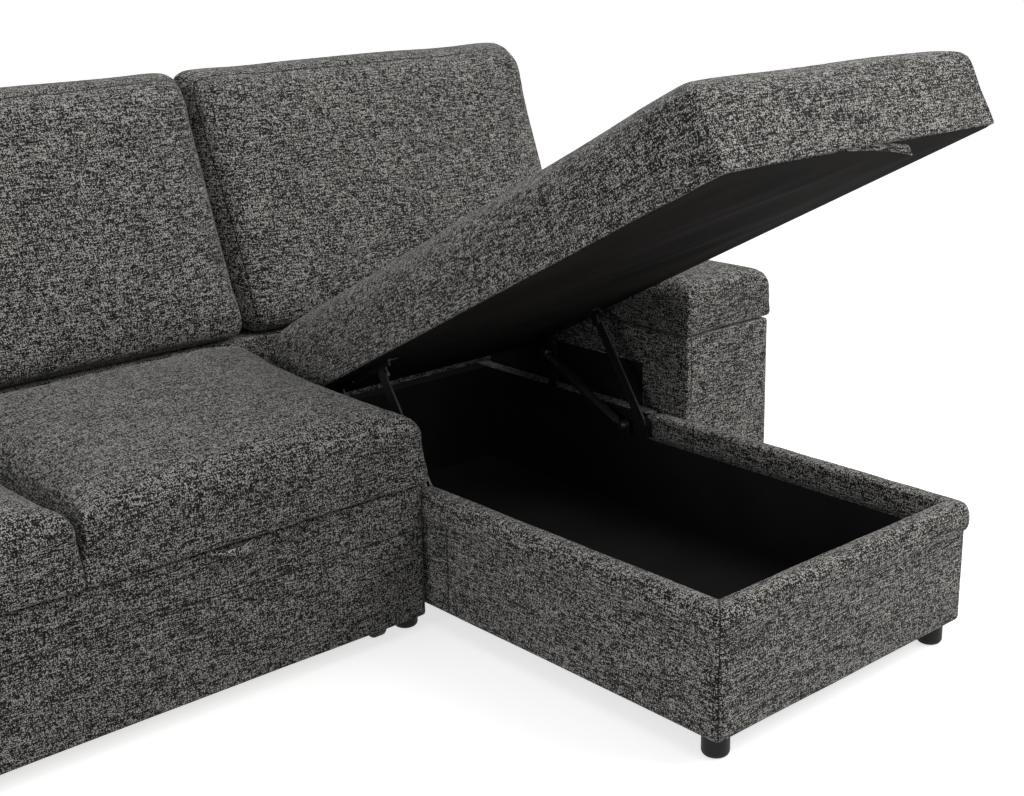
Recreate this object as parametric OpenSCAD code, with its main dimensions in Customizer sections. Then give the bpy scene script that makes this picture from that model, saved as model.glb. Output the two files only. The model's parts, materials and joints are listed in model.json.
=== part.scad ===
// Sleeper sofa with a storage chaise under a lift-up seat.
// X runs to the right, Y to the back and Z up. The origin is on the floor, under the middle of the sofa.
// The seat of the chaise is drawn lifted, and the pull-out bed is drawn closed.

/* [Whole sofa] */
// Depth from the front of the chaise to the back of the sofa
sofa_depth = 1640; // [1500:10:1800]
// Height of the upholstery above the floor
leg_h = 42; // [35:1:60]
// Diameter of a leg
leg_d = 46; // [38:1:60]
// Thickness of the upholstered side boards
wall_t = 35; // [28:1:45]

/* [Chaise box] */
// Width of the chaise
chaise_w = 650; // [600:5:760]
// Height of the rim that the lifted seat comes down on
rim_z = 270; // [250:1:300]
// Height of the padded roll round the rim
roll_h = 54; // [44:1:70]
// Distance from the end of the roll to the base of the backrest
roll_stop = 550; // [530:1:600]
// How far the roll bulges out over the board
roll_out = 8; // [4:1:9]
// Thickness of the black lining
lining_t = 2; // [1:0.5:3]
// Thickness of the bottom board
bottom_t = 12; // [9:1:18]

/* [Lift-up seat] */
// Gap between the closed seat and the base of the backrest
lid_end_gap = 6; // [5:1:20]
// How far the closed seat stands out in front of the chaise
lid_overhang = 14; // [4:1:20]
// How far the seat stands out over each side of the chaise
lid_side_out = 7; // [0:0.5:8]
// Height of the seat with its cushion
lid_h = 164; // [140:1:170]
// Thickness of the wooden frame inside the seat
lid_frame_t = 20; // [16:1:26]
// Gap between the closed seat and the rim
lid_gap = 0.5; // [0.4:0.1:2]

/* [Lift linkage] */
// Distance of the rear wall pivot from the base of the backrest
rear_pivot_in = 270; // [262:1:280]
// Distance between the two wall pivots
pivot_gap = 274; // [270:1:278]
// How far the wall pivots lie below the rim
pivot_drop = 24; // [22:1:30]
// Length of the rear link between its pivots
rear_link_len = 125; // [115:1:130]
// Length of the front link between its pivots
front_link_len = 238; // [230:1:245]
// Angle that the rear link turns through from closed to open
open_deg = 90; // [80:1:95]
// Thickness of the link bars
bar_t = 4; // [3:0.5:5]
// Radius of the pivot pins
pin_r = 5; // [4:0.5:6]
// Diameter of the sleeve round the lift spring
sleeve_d = 20; // [16:1:22]

/* [Seats] */
// Width of one seat cushion
seat_w = 664; // [580:2:760]
// Depth of a seat cushion
seat_d = 606; // [540:2:620]
// Height of the deck that the seat cushions lie on
deck_z = 294; // [288:1:306]
// Height of a seat cushion with its crown
seat_h = 176; // [150:1:180]

/* [Backrest] */
// Depth of the base under the backrest
back_base_d = 348; // [330:1:400]
// Height of the base under the backrest
back_base_h = 446; // [442:1:470]
// Height of the top of the backrest cushions
back_top_z = 972; // [900:2:1040]
// Angle that the backrest leans back
back_lean = 21.4; // [14:0.2:23]
// Thickness of a backrest cushion
back_cushion_t = 180; // [150:1:190]

/* [Arms] */
// Width of an arm without its pocket
arm_w = 235; // [180:1:260]
// Length of an arm
arm_len = 619; // [560:1:640]
// Height of an arm
arm_h = 552; // [520:1:600]
// Height of the padded cap on an arm
cap_h = 116; // [90:1:130]
// How far the side pocket stands out from the arm
pocket_d = 34; // [28:1:50]

/* [Pull-out bed] */
// Thickness of the upholstered front board
board_t = 18; // [15:1:24]
// Height of the front board above the floor
board_z = 30; // [24:1:34]
// Height of the top of the front board
board_top_z = 286; // [270:1:288]
// Thickness of the folding mattress
mattress_t = 80; // [60:1:84]
// Radius of a floor roller
roller_r = 25; // [20:1:26]
// Width of a floor roller
roller_w = 22; // [16:1:26]

/* [Hidden] */

// Colours
TWEED = [0.30, 0.30, 0.31];
TWEED_LIGHT = [0.36, 0.36, 0.37];
LINING = [0.07, 0.07, 0.075];
STEEL = [0.13, 0.13, 0.14];
PLASTIC = [0.05, 0.05, 0.05];
WOOD = [0.76, 0.62, 0.44];
TICKING = [0.82, 0.81, 0.78];

// Steps in a circle, in the corner of a cushion and round a cushion
round_fn = 48;
soft_steps = 3;
ring_steps = 32;
cap_steps = 24;

// Running clearances and gaps
face_gap = 0.5;
fit_gap = 0.05;
seat_gap = 4;
arm_gap = 10;
seat_side_gap = 10;
over = 1;

// Places across the sofa
sofa_w = 2 * (pocket_d + arm_w + arm_gap) + chaise_w + seat_side_gap + 2 * seat_w + seat_gap;
chaise_x0 = sofa_w / 2 - pocket_d - arm_w - arm_gap - chaise_w;
chaise_x1 = chaise_x0 + chaise_w;
seat_x1 = chaise_x0 - seat_side_gap;
seat_x0 = seat_x1 - 2 * seat_w - seat_gap;
right_arm_x0 = chaise_x1 + arm_gap;
left_arm_x1 = seat_x0 - arm_gap;

// Places along the sofa
front_y = -sofa_depth / 2;
back_y = sofa_depth / 2;
back_base_y = back_y - back_base_d;
box_len = back_base_y - front_y;
seat_y0 = back_base_y - seat_gap / 2 - seat_d;
arm_y0 = back_base_y - arm_len;
board_inset = 20;
board_y0 = seat_y0 + board_inset;

// Places along the chaise, from its front
roll_len = box_len - roll_stop;
lid_len = box_len + lid_overhang - lid_end_gap;
rear_pivot_d = box_len - rear_pivot_in;
front_pivot_d = rear_pivot_d - pivot_gap;

// Heights
roll_z0 = rim_z - roll_h;
pivot_z = rim_z - pivot_drop;
cap_z = arm_h - cap_h;

// The four-bar linkage, as [distance from the front of the chaise, height]
coupler_len = pivot_gap + rear_link_len - front_link_len;
rear_pivot = [rear_pivot_d, pivot_z];
front_pivot = [front_pivot_d, pivot_z];
lid_pivot_closed = [rear_pivot_d + rear_link_len, pivot_z];
lid_pivot_open = rear_pivot + rear_link_len * [cos(open_deg), sin(open_deg)];
front_joint_open = circles_meet(front_pivot, front_link_len, lid_pivot_open, coupler_len);
lid_tilt = atan2(front_joint_open[1] - lid_pivot_open[1], lid_pivot_open[0] - front_joint_open[0]);

// Where circles round p and q cross, on the upper side
function circles_meet(p, p_radius, q, q_radius) =
    let (
        gap = q - p,
        span = norm(gap),
        along = (p_radius * p_radius - q_radius * q_radius + span * span) / (2 * span),
        up = sqrt(p_radius * p_radius - along * along),
        way = gap / span
    )
    p + along * way + up * [-way[1], way[0]];

// Layers of the linkage, measured from the lined wall towards the middle of the box
plate_t = 3;
bar_u = plate_t + over;
head_t = 2;
hinge_plate_u = bar_u + bar_t + head_t + over;
hinge_plate_t = 3;
sleeve_u = hinge_plate_u + hinge_plate_t + head_t + over + sleeve_d / 2 + over;
eye_t = 12;
bar_w = 22;
boss_r = 9;

// The spring, from its bracket to a post on the rear link
bracket_in = 40;
bracket_d = front_pivot_d + bracket_in;
bracket_drop = 6;
post_r = 4;
post_arm = 107;
spring_foot = [bracket_d, pivot_z - bracket_drop];
spring_post = rear_pivot + post_arm * [cos(open_deg), sin(open_deg)];
spring_way = spring_post - spring_foot;
spring_len = norm(spring_way);
spring_deg = atan2(spring_way[1], spring_way[0]);

// Shared forms

// A flat piece in the YZ plane, t thick along X
module in_yz(t) {
    rotate([90, 0, 90]) linear_extrude(t) children();
}

// A rectangle with rounded corners
module round_rect(size, r) {
    translate([r, 0]) square([size[0] - 2 * r, size[1]]);
    translate([0, r]) square([size[0], size[1] - 2 * r]);
    for (x = [r, size[0] - r], y = [r, size[1] - r]) translate([x, y]) circle(r, $fn = round_fn);
}

// A bar with round ends from the origin along X
module bar_2d(length, width) {
    translate([0, -width / 2]) square([length, width]);
    for (x = [0, length]) translate([x, 0]) circle(d = width, $fn = round_fn);
}

// Puts a piece drawn at [0, distance from the front, height] into the chaise, on both lined walls
module on_both_walls() {
    for (side = [0, 1])
        translate([chaise_x0 + side * chaise_w, front_y, 0])
            mirror([side, 0, 0])
                translate([wall_t + lining_t, 0, 0]) children();
}

// Turns a piece of the seat, drawn closed, to its lifted place
module lifted() {
    translate([0, front_y + lid_pivot_open[0], lid_pivot_open[1]])
        rotate([-lid_tilt, 0, 0])
            translate([0, -front_y - lid_pivot_closed[0], -lid_pivot_closed[1]]) children();
}

// One point of a cushion's outline, a rounded rectangle that bows between its corners
function outline_point(half_x, half_y, square_share, turn) =
    [
        half_x * sign(cos(turn)) * pow(abs(cos(turn)), 2 / square_share),
        half_y * sign(sin(turn)) * pow(abs(sin(turn)), 2 / square_share)
    ];

// Where a cushion's underside turns flat, and where its crown is drawn, as shares of its outline
sole_share = 0.6;
dome_shares = [0.9, 0.75, 0.55, 0.3];

// The levels of a cushion from its underside to its crown, as [inset, share of the outline, height]
function cushion_levels(h, edge, foot, crown, belly) =
    let (
        shoulder = h - crown,
        side = shoulder - foot - edge
    )
    concat(
        [[belly + foot, sole_share, 0]],
        [for (i = [0:soft_steps - 1]) let (a = 90 * i / soft_steps)
            [belly + foot * (1 - sin(a)), 1, foot * (1 - cos(a))]],
        [for (i = [0:2 * soft_steps]) let (s = i / (2 * soft_steps))
            [belly * (1 - sin(180 * s)), 1, foot + s * side]],
        [for (i = [1:soft_steps]) let (a = 90 * i / soft_steps)
            [belly + edge * (1 - cos(a)), 1, shoulder - edge * (1 - sin(a))]],
        [for (s = dome_shares) [belly + edge, s, shoulder + crown * (1 - s * s)]]
    );

// A crowned cushion in the box size, centred on X and Y and standing on Z = 0.
// edge and foot are its upper and lower edge radii, and belly is how far its sides draw in at the seams.
// slope leans it: each step along Y lowers it by that share.
// rise_share makes it thicker towards +Y, by that share of its height over its whole length.
module cushion(size, edge, foot, crown, belly, square_share, slope = 0, points = ring_steps, rise_share = 0) {
    levels = cushion_levels(size[2], edge, foot, crown, belly);
    count = len(levels);
    rings = [
        for (level = levels, i = [0:points - 1])
            let (p = outline_point(
                (size[0] / 2 - level[0]) * level[1], (size[1] / 2 - level[0]) * level[1],
                square_share, 360 * i / points))
            [p[0], p[1], level[2] * (1 + rise_share * p[1] / size[1]) - slope * p[1]]
    ];
    base = len(rings);
    peak = base + 1;
    top = (count - 1) * points;
    polyhedron(
        points = concat(rings, [[0, 0, 0], [0, 0, size[2]]]),
        faces = concat(
            [for (i = [0:points - 1]) [base, i, (i + 1) % points]],
            [for (k = [0:count - 2], i = [0:points - 1])
                let (a = k * points + i, b = k * points + (i + 1) % points)
                [a, a + points, b + points]],
            [for (k = [0:count - 2], i = [0:points - 1])
                let (a = k * points + i, b = k * points + (i + 1) % points)
                [a, b + points, b]],
            [for (i = [0:points - 1]) [peak, top + (i + 1) % points, top + i]]
        ),
        convexity = 4
    );
}

// Chaise box
corner_r = 10;
side_panel_len = box_len - face_gap;
panel_h = roll_z0 - leg_h;

// A side board: full height behind the roll, and up to the roll's seam in front of it
module side_panel() {
    in_yz(wall_t) {
        translate([wall_t, leg_h]) square([side_panel_len - wall_t, panel_h]);
        translate([roll_len, leg_h]) square([side_panel_len - roll_len, rim_z - leg_h]);
    }
}

module chaise_left_panel() {
    color(TWEED) translate([chaise_x0, front_y, 0]) side_panel();
}

module chaise_right_panel() {
    color(TWEED) translate([chaise_x1 - wall_t, front_y, 0]) side_panel();
}

// The front board, with its vertical edges rounded where the fabric goes round them
module chaise_front_panel() {
    color(TWEED_LIGHT) translate([chaise_x0, front_y, leg_h]) linear_extrude(panel_h) intersection() {
        round_rect([chaise_w, 2 * wall_t], corner_r);
        square([chaise_w, wall_t]);
    }
}

module chaise_rear_panel() {
    color(LINING) translate([chaise_x0 + wall_t, front_y + side_panel_len - wall_t, leg_h])
        cube([chaise_w - 2 * wall_t, wall_t, rim_z - leg_h]);
}

module chaise_bottom() {
    color(LINING) translate([chaise_x0 + wall_t, front_y + wall_t, leg_h])
        cube([chaise_w - 2 * wall_t, side_panel_len - 2 * wall_t, bottom_t]);
}

module chaise_lining() {
    inner_w = chaise_w - 2 * wall_t;
    inner_len = side_panel_len - 2 * wall_t;
    floor_z = leg_h + bottom_t;
    color(LINING) translate([chaise_x0 + wall_t, front_y + wall_t, floor_z]) difference() {
        union() {
            cube([inner_w, inner_len, roll_z0 - floor_z]);
            translate([0, roll_len - wall_t, 0]) cube([inner_w, inner_len - roll_len + wall_t, rim_z - floor_z]);
        }
        translate([lining_t, lining_t, -over])
            cube([inner_w - 2 * lining_t, inner_len - 2 * lining_t, rim_z]);
        translate([lining_t, -over, roll_z0 - floor_z])
            cube([inner_w - 2 * lining_t, inner_len - lining_t + over, rim_z]);
    }
}

// The roll, seen along its run: out over the board, domed, and square against the lining
roll_w = wall_t + lining_t;
roll_bulge_r = (roll_w + roll_out) / 2 - over;
roll_edge_r = 8;
module roll_2d() {
    hull() {
        translate([roll_bulge_r - roll_out, roll_h - roll_bulge_r]) circle(roll_bulge_r, $fn = 32);
        translate([roll_w - roll_edge_r, roll_h - roll_edge_r]) circle(roll_edge_r, $fn = 32);
        square([roll_w, over]);
    }
}

// Keeps the stretch of the rim between its mitred ends, seen from above
module rim_part(points) {
    translate([0, 0, -over]) linear_extrude(roll_h + 2 * over) polygon(points);
}

module side_roll(x_sign) {
    reach = roll_out + over;
    color(TWEED) translate([x_sign > 0 ? chaise_x0 : chaise_x1, front_y, roll_z0])
        mirror([x_sign > 0 ? 0 : 1, 0, 0]) intersection() {
            translate([0, -reach, 0]) translate([0, roll_len + reach, 0]) rotate([90, 0, 0])
                linear_extrude(roll_len + reach) roll_2d();
            rim_part([[-reach, -reach], [roll_w + reach, roll_w + reach], [roll_w + reach, roll_len],
                [-reach, roll_len]]);
        }
}

module rim_roll_left() {
    side_roll(1);
}

module rim_roll_right() {
    side_roll(-1);
}

module rim_roll_front() {
    reach = roll_out + over;
    color(TWEED_LIGHT) translate([chaise_x0, front_y, roll_z0]) intersection() {
        translate([-reach, 0, 0]) in_yz(chaise_w + 2 * reach) roll_2d();
        rim_part([[-reach, -reach], [chaise_w + reach, -reach], [chaise_w - roll_w - reach, roll_w + reach],
            [roll_w + reach, roll_w + reach]]);
    }
}

// Legs
leg_foot_r = 9;
leg_inset = 38;

module leg() {
    rotate_extrude($fn = round_fn) {
        square([leg_d / 2 - leg_foot_r, leg_h]);
        translate([0, leg_foot_r]) square([leg_d / 2, leg_h - leg_foot_r]);
        translate([leg_d / 2 - leg_foot_r, leg_foot_r]) intersection() {
            circle(leg_foot_r, $fn = round_fn);
            translate([0, -leg_foot_r]) square(leg_foot_r);
        }
    }
}

module chaise_legs() {
    color(PLASTIC)
        for (x = [chaise_x0 + leg_inset, chaise_x1 - leg_inset], y = [leg_inset, side_panel_len - leg_inset])
            translate([x, front_y + y, 0]) leg();
}

// Wall plates of the lift linkage
plate_end = 38;
plate_w = 36;
plate_len = rear_pivot_d - front_pivot_d + plate_end / 2;
plate_low = 8;
slot_len = 60;
slot_w = 9;
slot_shares = [0.28, 0.72];
screw_r = 3.5;
screw_inset = 22;
plate_start = front_pivot_d - plate_end / 2;
plate_screws = [plate_start + screw_inset + screw_r, plate_start + plate_len / 2, rear_pivot_d - screw_inset - screw_r];

module lift_base_plates() {
    color(STEEL) on_both_walls() in_yz(plate_t) difference() {
        translate([plate_start, pivot_z - plate_w / 2 - plate_low])
            round_rect([plate_len + plate_end / 2, plate_w + plate_low - over], corner_r);
        for (slot_share = slot_shares)
            translate([plate_start + slot_share * plate_len - slot_len / 2, pivot_z]) bar_2d(slot_len, slot_w);
    }
}

module lift_plate_screws() {
    color(STEEL) on_both_walls() for (y = plate_screws)
        translate([plate_t, y, pivot_z - plate_w / 2 + screw_r - over / 2]) rotate([0, 90, 0])
            cylinder(h = over - face_gap, r = screw_r, $fn = round_fn);
}

module base_pivot_pins() {
    color(STEEL) on_both_walls() for (p = [rear_pivot, front_pivot]) translate([plate_t, p[0], p[1]])
        rotate([0, 90, 0]) {
            cylinder(h = over + bar_t + face_gap, r = pin_r, $fn = round_fn);
            cylinder(h = over - face_gap, r = boss_r, $fn = round_fn);
            translate([0, 0, over + bar_t + face_gap]) cylinder(h = head_t - face_gap, r = boss_r, $fn = round_fn);
        }
}

// The bracket that carries the foot of the spring: a foot on the wall plate, below the links, and an ear
shelf_t = 3;
ear_w = 24;
ear_t = 4;
shelf_z = pivot_z - plate_w / 2 - plate_low;

module spring_brackets() {
    ear_u = sleeve_u - eye_t / 2 - face_gap - ear_t;
    color(STEEL) on_both_walls() {
        translate([plate_t, bracket_d - ear_w / 2, shelf_z]) cube([ear_u + ear_t - plate_t, ear_w, shelf_t]);
        translate([ear_u, 0, 0]) in_yz(ear_t) {
            translate([bracket_d - ear_w / 2, shelf_z]) square([ear_w, spring_foot[1] - shelf_z]);
            translate(spring_foot) circle(d = ear_w, $fn = round_fn);
        }
        translate([ear_u + ear_t, spring_foot[0], spring_foot[1]]) rotate([0, 90, 0]) {
            cylinder(h = eye_t + 2 * face_gap, r = pin_r, $fn = round_fn);
            translate([0, 0, eye_t + 2 * face_gap]) cylinder(h = head_t, r = boss_r, $fn = round_fn);
        }
    }
}

// Links, each drawn with a bore at both ends
module link_bar(foot, length, turn, end_bore) {
    translate([bar_u, 0, 0]) in_yz(bar_t) translate(foot) rotate(turn) difference() {
        bar_2d(length, bar_w);
        circle(pin_r + fit_gap, $fn = round_fn);
        if (end_bore) translate([length, 0]) circle(pin_r + fit_gap, $fn = round_fn);
    }
}

module rear_links() {
    color(STEEL) on_both_walls() link_bar(rear_pivot, rear_link_len, open_deg, true);
}

module spring_posts() {
    post_len = sleeve_u - eye_t / 2 - face_gap - bar_u - bar_t;
    color(STEEL) on_both_walls() translate([bar_u + bar_t, spring_post[0], spring_post[1]]) rotate([0, 90, 0])
        cylinder(h = post_len, r = post_r, $fn = round_fn);
}

module front_links() {
    reach = front_joint_open - front_pivot;
    color(STEEL) on_both_walls() link_bar(front_pivot, front_link_len, atan2(reach[1], reach[0]), false);
}

module front_link_studs() {
    color(STEEL) on_both_walls() translate([bar_u + bar_t, front_joint_open[0], front_joint_open[1]])
        rotate([0, 90, 0]) cylinder(h = head_t + over - face_gap, r = boss_r, $fn = round_fn);
}

// The spring runs inside a closed sleeve, from its eye on the bracket to the rod that the rear link pulls
sleeve_start = 14;
sleeve_len = 196;
sleeve_wall = 2;
rod_r = 5;
rod_tail = 110;
neck_r = 7;

module spring_line(from, length, r) {
    translate([sleeve_u, spring_foot[0], spring_foot[1]]) rotate([spring_deg, 0, 0])
        translate([0, from, 0]) rotate([-90, 0, 0]) cylinder(h = length, r = r, $fn = round_fn);
}

module spring_eye(place) {
    translate([sleeve_u - eye_t / 2, place[0], place[1]]) rotate([0, 90, 0])
        cylinder(h = eye_t, r = boss_r, $fn = round_fn);
}

module eye_bore(place, r) {
    translate([sleeve_u - eye_t / 2 - over, place[0], place[1]]) rotate([0, 90, 0])
        cylinder(h = eye_t + 2 * over, r = r, $fn = round_fn);
}

module spring_sleeves() {
    color(PLASTIC) on_both_walls() difference() {
        union() {
            spring_eye(spring_foot);
            spring_line(0, sleeve_start + over, rod_r);
            spring_line(sleeve_start, sleeve_len, sleeve_d / 2);
        }
        eye_bore(spring_foot, pin_r + fit_gap);
        spring_line(sleeve_start + sleeve_wall + over, sleeve_len, rod_r + face_gap);
    }
}

module spring_rods() {
    color(STEEL) on_both_walls() difference() {
        union() {
            spring_eye(spring_post);
            spring_line(spring_len - rod_tail, rod_tail, rod_r);
            spring_line(sleeve_start + sleeve_len + over, spring_len - sleeve_start - sleeve_len - boss_r, neck_r);
        }
        eye_bore(spring_post, post_r + face_gap);
    }
}

// Lift-up seat, drawn closed and then lifted
lid_w = chaise_w + 2 * lid_side_out;
lid_x0 = chaise_x0 - lid_side_out;
lid_z = rim_z + lid_gap;
lid_y0 = front_y - lid_overhang;
dust_t = 2;
lid_border = 22;
dust_border = 18;
lid_edge = 28;
lid_foot = 1.5;
lid_crown = 14;
lid_belly = 2;
lid_square_share = 24;
flange_w = 24;
flange_t = 3;
plate_reach = 24;

module lid_hinge_plates() {
    web_top = lid_z - lid_pivot_closed[1];
    web_start = -coupler_len - plate_reach;
    web_len = coupler_len + 2 * plate_reach;
    color(STEEL) lifted() on_both_walls() translate([hinge_plate_u, lid_pivot_closed[0], lid_pivot_closed[1]]) {
        in_yz(hinge_plate_t) difference() {
            union() {
                translate([web_start, web_top - flange_t - boss_r]) square([web_len, flange_t + boss_r]);
                for (y = [0, -coupler_len]) translate([y, 0]) {
                    circle(boss_r, $fn = round_fn);
                    translate([-boss_r, 0]) square([2 * boss_r, web_top - over]);
                }
            }
            circle(pin_r, $fn = round_fn);
            translate([-coupler_len / 2, web_top - flange_t - boss_r / 2]) translate([-slot_len / 2, 0])
                bar_2d(slot_len, slot_w / 2);
        }
        translate([0, web_start, web_top - flange_t]) cube([flange_w, web_len, flange_t]);
    }
}

module lid_pivot_pins() {
    color(STEEL) lifted() on_both_walls() {
        translate([bar_u, lid_pivot_closed[0], lid_pivot_closed[1]]) rotate([0, 90, 0]) {
            cylinder(h = hinge_plate_u + hinge_plate_t - bar_u, r = pin_r, $fn = round_fn);
            translate([0, 0, bar_t + face_gap])
                cylinder(h = hinge_plate_u - bar_u - bar_t - face_gap, r = boss_r, $fn = round_fn);
            translate([0, 0, hinge_plate_u + hinge_plate_t - bar_u]) cylinder(h = head_t, r = boss_r, $fn = round_fn);
        }
        translate([hinge_plate_u + hinge_plate_t, lid_pivot_closed[0] - coupler_len, lid_pivot_closed[1]])
            rotate([0, 90, 0]) cylinder(h = head_t, r = boss_r, $fn = round_fn);
    }
}

lid_rail_w = 60;
lid_rails = 4;

// The outline of a wooden ladder frame, with its corner at the origin
module ladder(h) {
    frame_w = lid_w - 2 * lid_border;
    frame_len = lid_len - 2 * lid_border;
    rail_step = (frame_len - lid_rail_w) / (lid_rails - 1);
    for (x = [0, frame_w - lid_rail_w]) translate([x, 0, 0]) cube([lid_rail_w, frame_len, h]);
    for (i = [0:lid_rails - 1]) translate([0, i * rail_step, 0]) cube([frame_w, lid_rail_w, h]);
}

// The frame is let into the underside of the foam
module lid_frame() {
    color(WOOD) lifted() translate([lid_x0 + lid_border, lid_y0 + lid_border, lid_z + dust_t])
        ladder(lid_frame_t - dust_t);
}

module lid_dust_cover() {
    color(LINING) lifted() translate([lid_x0 + dust_border, lid_y0 + dust_border, lid_z])
        cube([lid_w - 2 * dust_border, lid_len - 2 * dust_border, dust_t]);
}

// The foam fills the ladder's bays, and its rear end slopes away to pass under the backrest cushion
lid_rear_cut_d = 78;
lid_rear_cut_h = 96;

module lid_cushion() {
    color(TWEED) lifted() translate([chaise_x0 + chaise_w / 2, lid_y0 + lid_len / 2, lid_z]) difference() {
        cushion([lid_w, lid_len, lid_h], lid_edge, lid_foot, lid_crown, lid_belly, lid_square_share);
        translate([-lid_w / 2 - over, lid_len / 2, lid_h]) in_yz(lid_w + 2 * over)
            polygon([[-lid_rear_cut_d, over], [over, over], [over, -lid_rear_cut_h]]);
        translate([dust_border - lid_w / 2, dust_border - lid_len / 2, -over])
            cube([lid_w - 2 * dust_border, lid_len - 2 * dust_border, dust_t + over]);
        translate([lid_border - lid_w / 2, lid_border - lid_len / 2, 0]) ladder(lid_frame_t);
    }
}

loop_w = 150;
loop_drop = 24;
loop_t = 2.6;
loop_x = 345;
loop_inset = 3;

// A folded fabric pull under the front edge of the seat
module lid_pull_loop() {
    color(TWEED) lifted() translate([chaise_x0 + loop_x - loop_w / 2, lid_y0 + loop_inset, lid_z - loop_drop])
        cube([loop_w, loop_t, loop_drop]);
}

// Fixed seat base
base_wall_t = 36;
beam_w = 40;
beam_h = 38;
deck_t = 18;
base_x1 = chaise_x0 - roll_out;
base_x0 = left_arm_x1 + arm_gap;
base_y0 = board_y0 + board_t + seat_gap;

module seat_base_sides() {
    color(WOOD) for (x = [base_x0, base_x1 - base_wall_t]) translate([x, base_y0, leg_h])
        cube([base_wall_t, back_base_y - base_y0, deck_z - deck_t - leg_h]);
}

module seat_front_beam() {
    color(WOOD) translate([base_x0 + base_wall_t, base_y0, deck_z - deck_t - beam_h])
        cube([base_x1 - base_x0 - 2 * base_wall_t, beam_w, beam_h]);
}

module seat_deck() {
    color(LINING) translate([base_x0, base_y0, deck_z - deck_t])
        cube([base_x1 - base_x0, back_base_y - base_y0, deck_t]);
}

seat_edge = 34;
seat_foot = 6;
seat_crown = 26;
seat_belly = 8;
seat_square_share = 24;
seat_rise_share = 0.2;
seat_run_on = 60;
seat_tuck = 37;

// A seat cushion that is thicker at the back. It is cut square there, and a step lets it reach under the backrest.
module seat_cushion(x0) {
    long = seat_d + seat_run_on;
    tuck_h = back_base_h - deck_z - face_gap;
    color(TWEED) translate([x0 + seat_w / 2, seat_y0, deck_z]) difference() {
        translate([0, long / 2, 0])
            cushion([seat_w, long, seat_h], seat_edge, seat_foot, seat_crown, seat_belly, seat_square_share,
                rise_share = seat_rise_share);
        translate([-seat_w, seat_d, -over]) cube([2 * seat_w, long, 2 * seat_h]);
        translate([-seat_w, seat_d - seat_tuck, tuck_h]) cube([2 * seat_w, long, seat_h]);
    }
}

module seat_cushion_middle() {
    seat_cushion(seat_x1 - seat_w);
}

module seat_cushion_left() {
    seat_cushion(seat_x0);
}

// Backrest
rear_cover_t = 3;
frame_board_t = 18;
back_x0 = -sofa_w / 2;
back_x1 = sofa_w / 2;
back_w = back_x1 - back_x0;
frame_top_drop = 84;
back_edge = 26;
back_foot = 20;
back_crown = 24;
back_belly = 14;
back_square_share = 14;
back_slope = tan(back_lean);
cushion_rear_d = 104;
back_end_inset = 16;
back_seam_shift = 12;
back_cushion_h = back_top_z - back_base_h;
cushion_rear_y = back_base_y + cushion_rear_d;

// Where two backrest cushions meet, across the sofa
back_seams = [seat_x0 + seat_w + seat_gap / 2 + back_seam_shift, chaise_x0 + back_seam_shift];

// Upholstered boards, hollow and open below
module back_base() {
    size = [back_w, back_base_d - rear_cover_t, back_base_h - leg_h - bottom_t - face_gap];
    color(TWEED) translate([back_x0, back_base_y, leg_h + bottom_t]) difference() {
        cube(size);
        translate([frame_board_t, frame_board_t, -over])
            cube([size[0] - 2 * frame_board_t, size[1] - 2 * frame_board_t, size[2] - frame_board_t + over]);
    }
}

// The side view of the backrest's boards, outside for inset 0 and inside for a board's thickness
module backrest_outline(inset) {
    foot_y = cushion_rear_y + seat_gap / 2 + inset / cos(back_lean);
    rear_y = back_y - rear_cover_t - inset;
    top = back_cushion_h - frame_top_drop - inset;
    low = inset > 0 ? -over : 0;
    polygon([[foot_y, low], [rear_y, low], [rear_y, top], [foot_y + top * back_slope, top]]);
}

module backrest_frame() {
    color(TWEED) translate([back_x0, 0, back_base_h - face_gap]) difference() {
        in_yz(back_w) backrest_outline(0);
        translate([frame_board_t, 0, 0]) in_yz(back_w - 2 * frame_board_t) backrest_outline(frame_board_t);
    }
}

module backrest_rear_cover() {
    color(TWEED) translate([back_x0, back_y - rear_cover_t, leg_h])
        cube([back_w, rear_cover_t, back_top_z - frame_top_drop - leg_h - face_gap]);
}

// A cushion that leans back with a level underside
module back_cushion(x0, x1) {
    w = x1 - x0;
    color(TWEED) translate([x0 + w / 2, cushion_rear_y + back_cushion_h / 2 * back_slope, back_base_h + back_cushion_h / 2])
        rotate([90, 0, 0])
            cushion([w, back_cushion_h, back_cushion_t], back_edge, back_foot, back_crown, back_belly, back_square_share, back_slope);
}

module back_cushion_right() {
    back_cushion(back_seams[1] + face_gap / 2, back_x1 - back_end_inset);
}

module back_cushion_middle() {
    back_cushion(back_seams[0] + face_gap / 2, back_seams[1] - face_gap / 2);
}

module back_cushion_left() {
    back_cushion(back_x0 + back_end_inset, back_seams[0] - face_gap / 2);
}

// Arms
arm_corner_r = 18;
cap_edge = 30;
cap_foot = 8;
cap_crown = 8;
cap_belly = 4;
cap_square_share = 30;
cap_out = 14;
cap_back_gap = 40;
arm_lining_d = 127;
arm_lining_top = 358;
pocket_wall = 8;
pocket_inset = 14;
pocket_foot = 70;
pocket_drop = 8;

// Hollow boards, open below
module arm_frame(x0) {
    h = cap_z - leg_h - bottom_t;
    color(TWEED) translate([x0, arm_y0, leg_h + bottom_t]) difference() {
        linear_extrude(h) round_rect([arm_w, arm_len - face_gap], arm_corner_r);
        translate([frame_board_t, frame_board_t, -over])
            cube([arm_w - 2 * frame_board_t, arm_len - face_gap - 2 * frame_board_t, h - frame_board_t + over]);
    }
}

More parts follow.
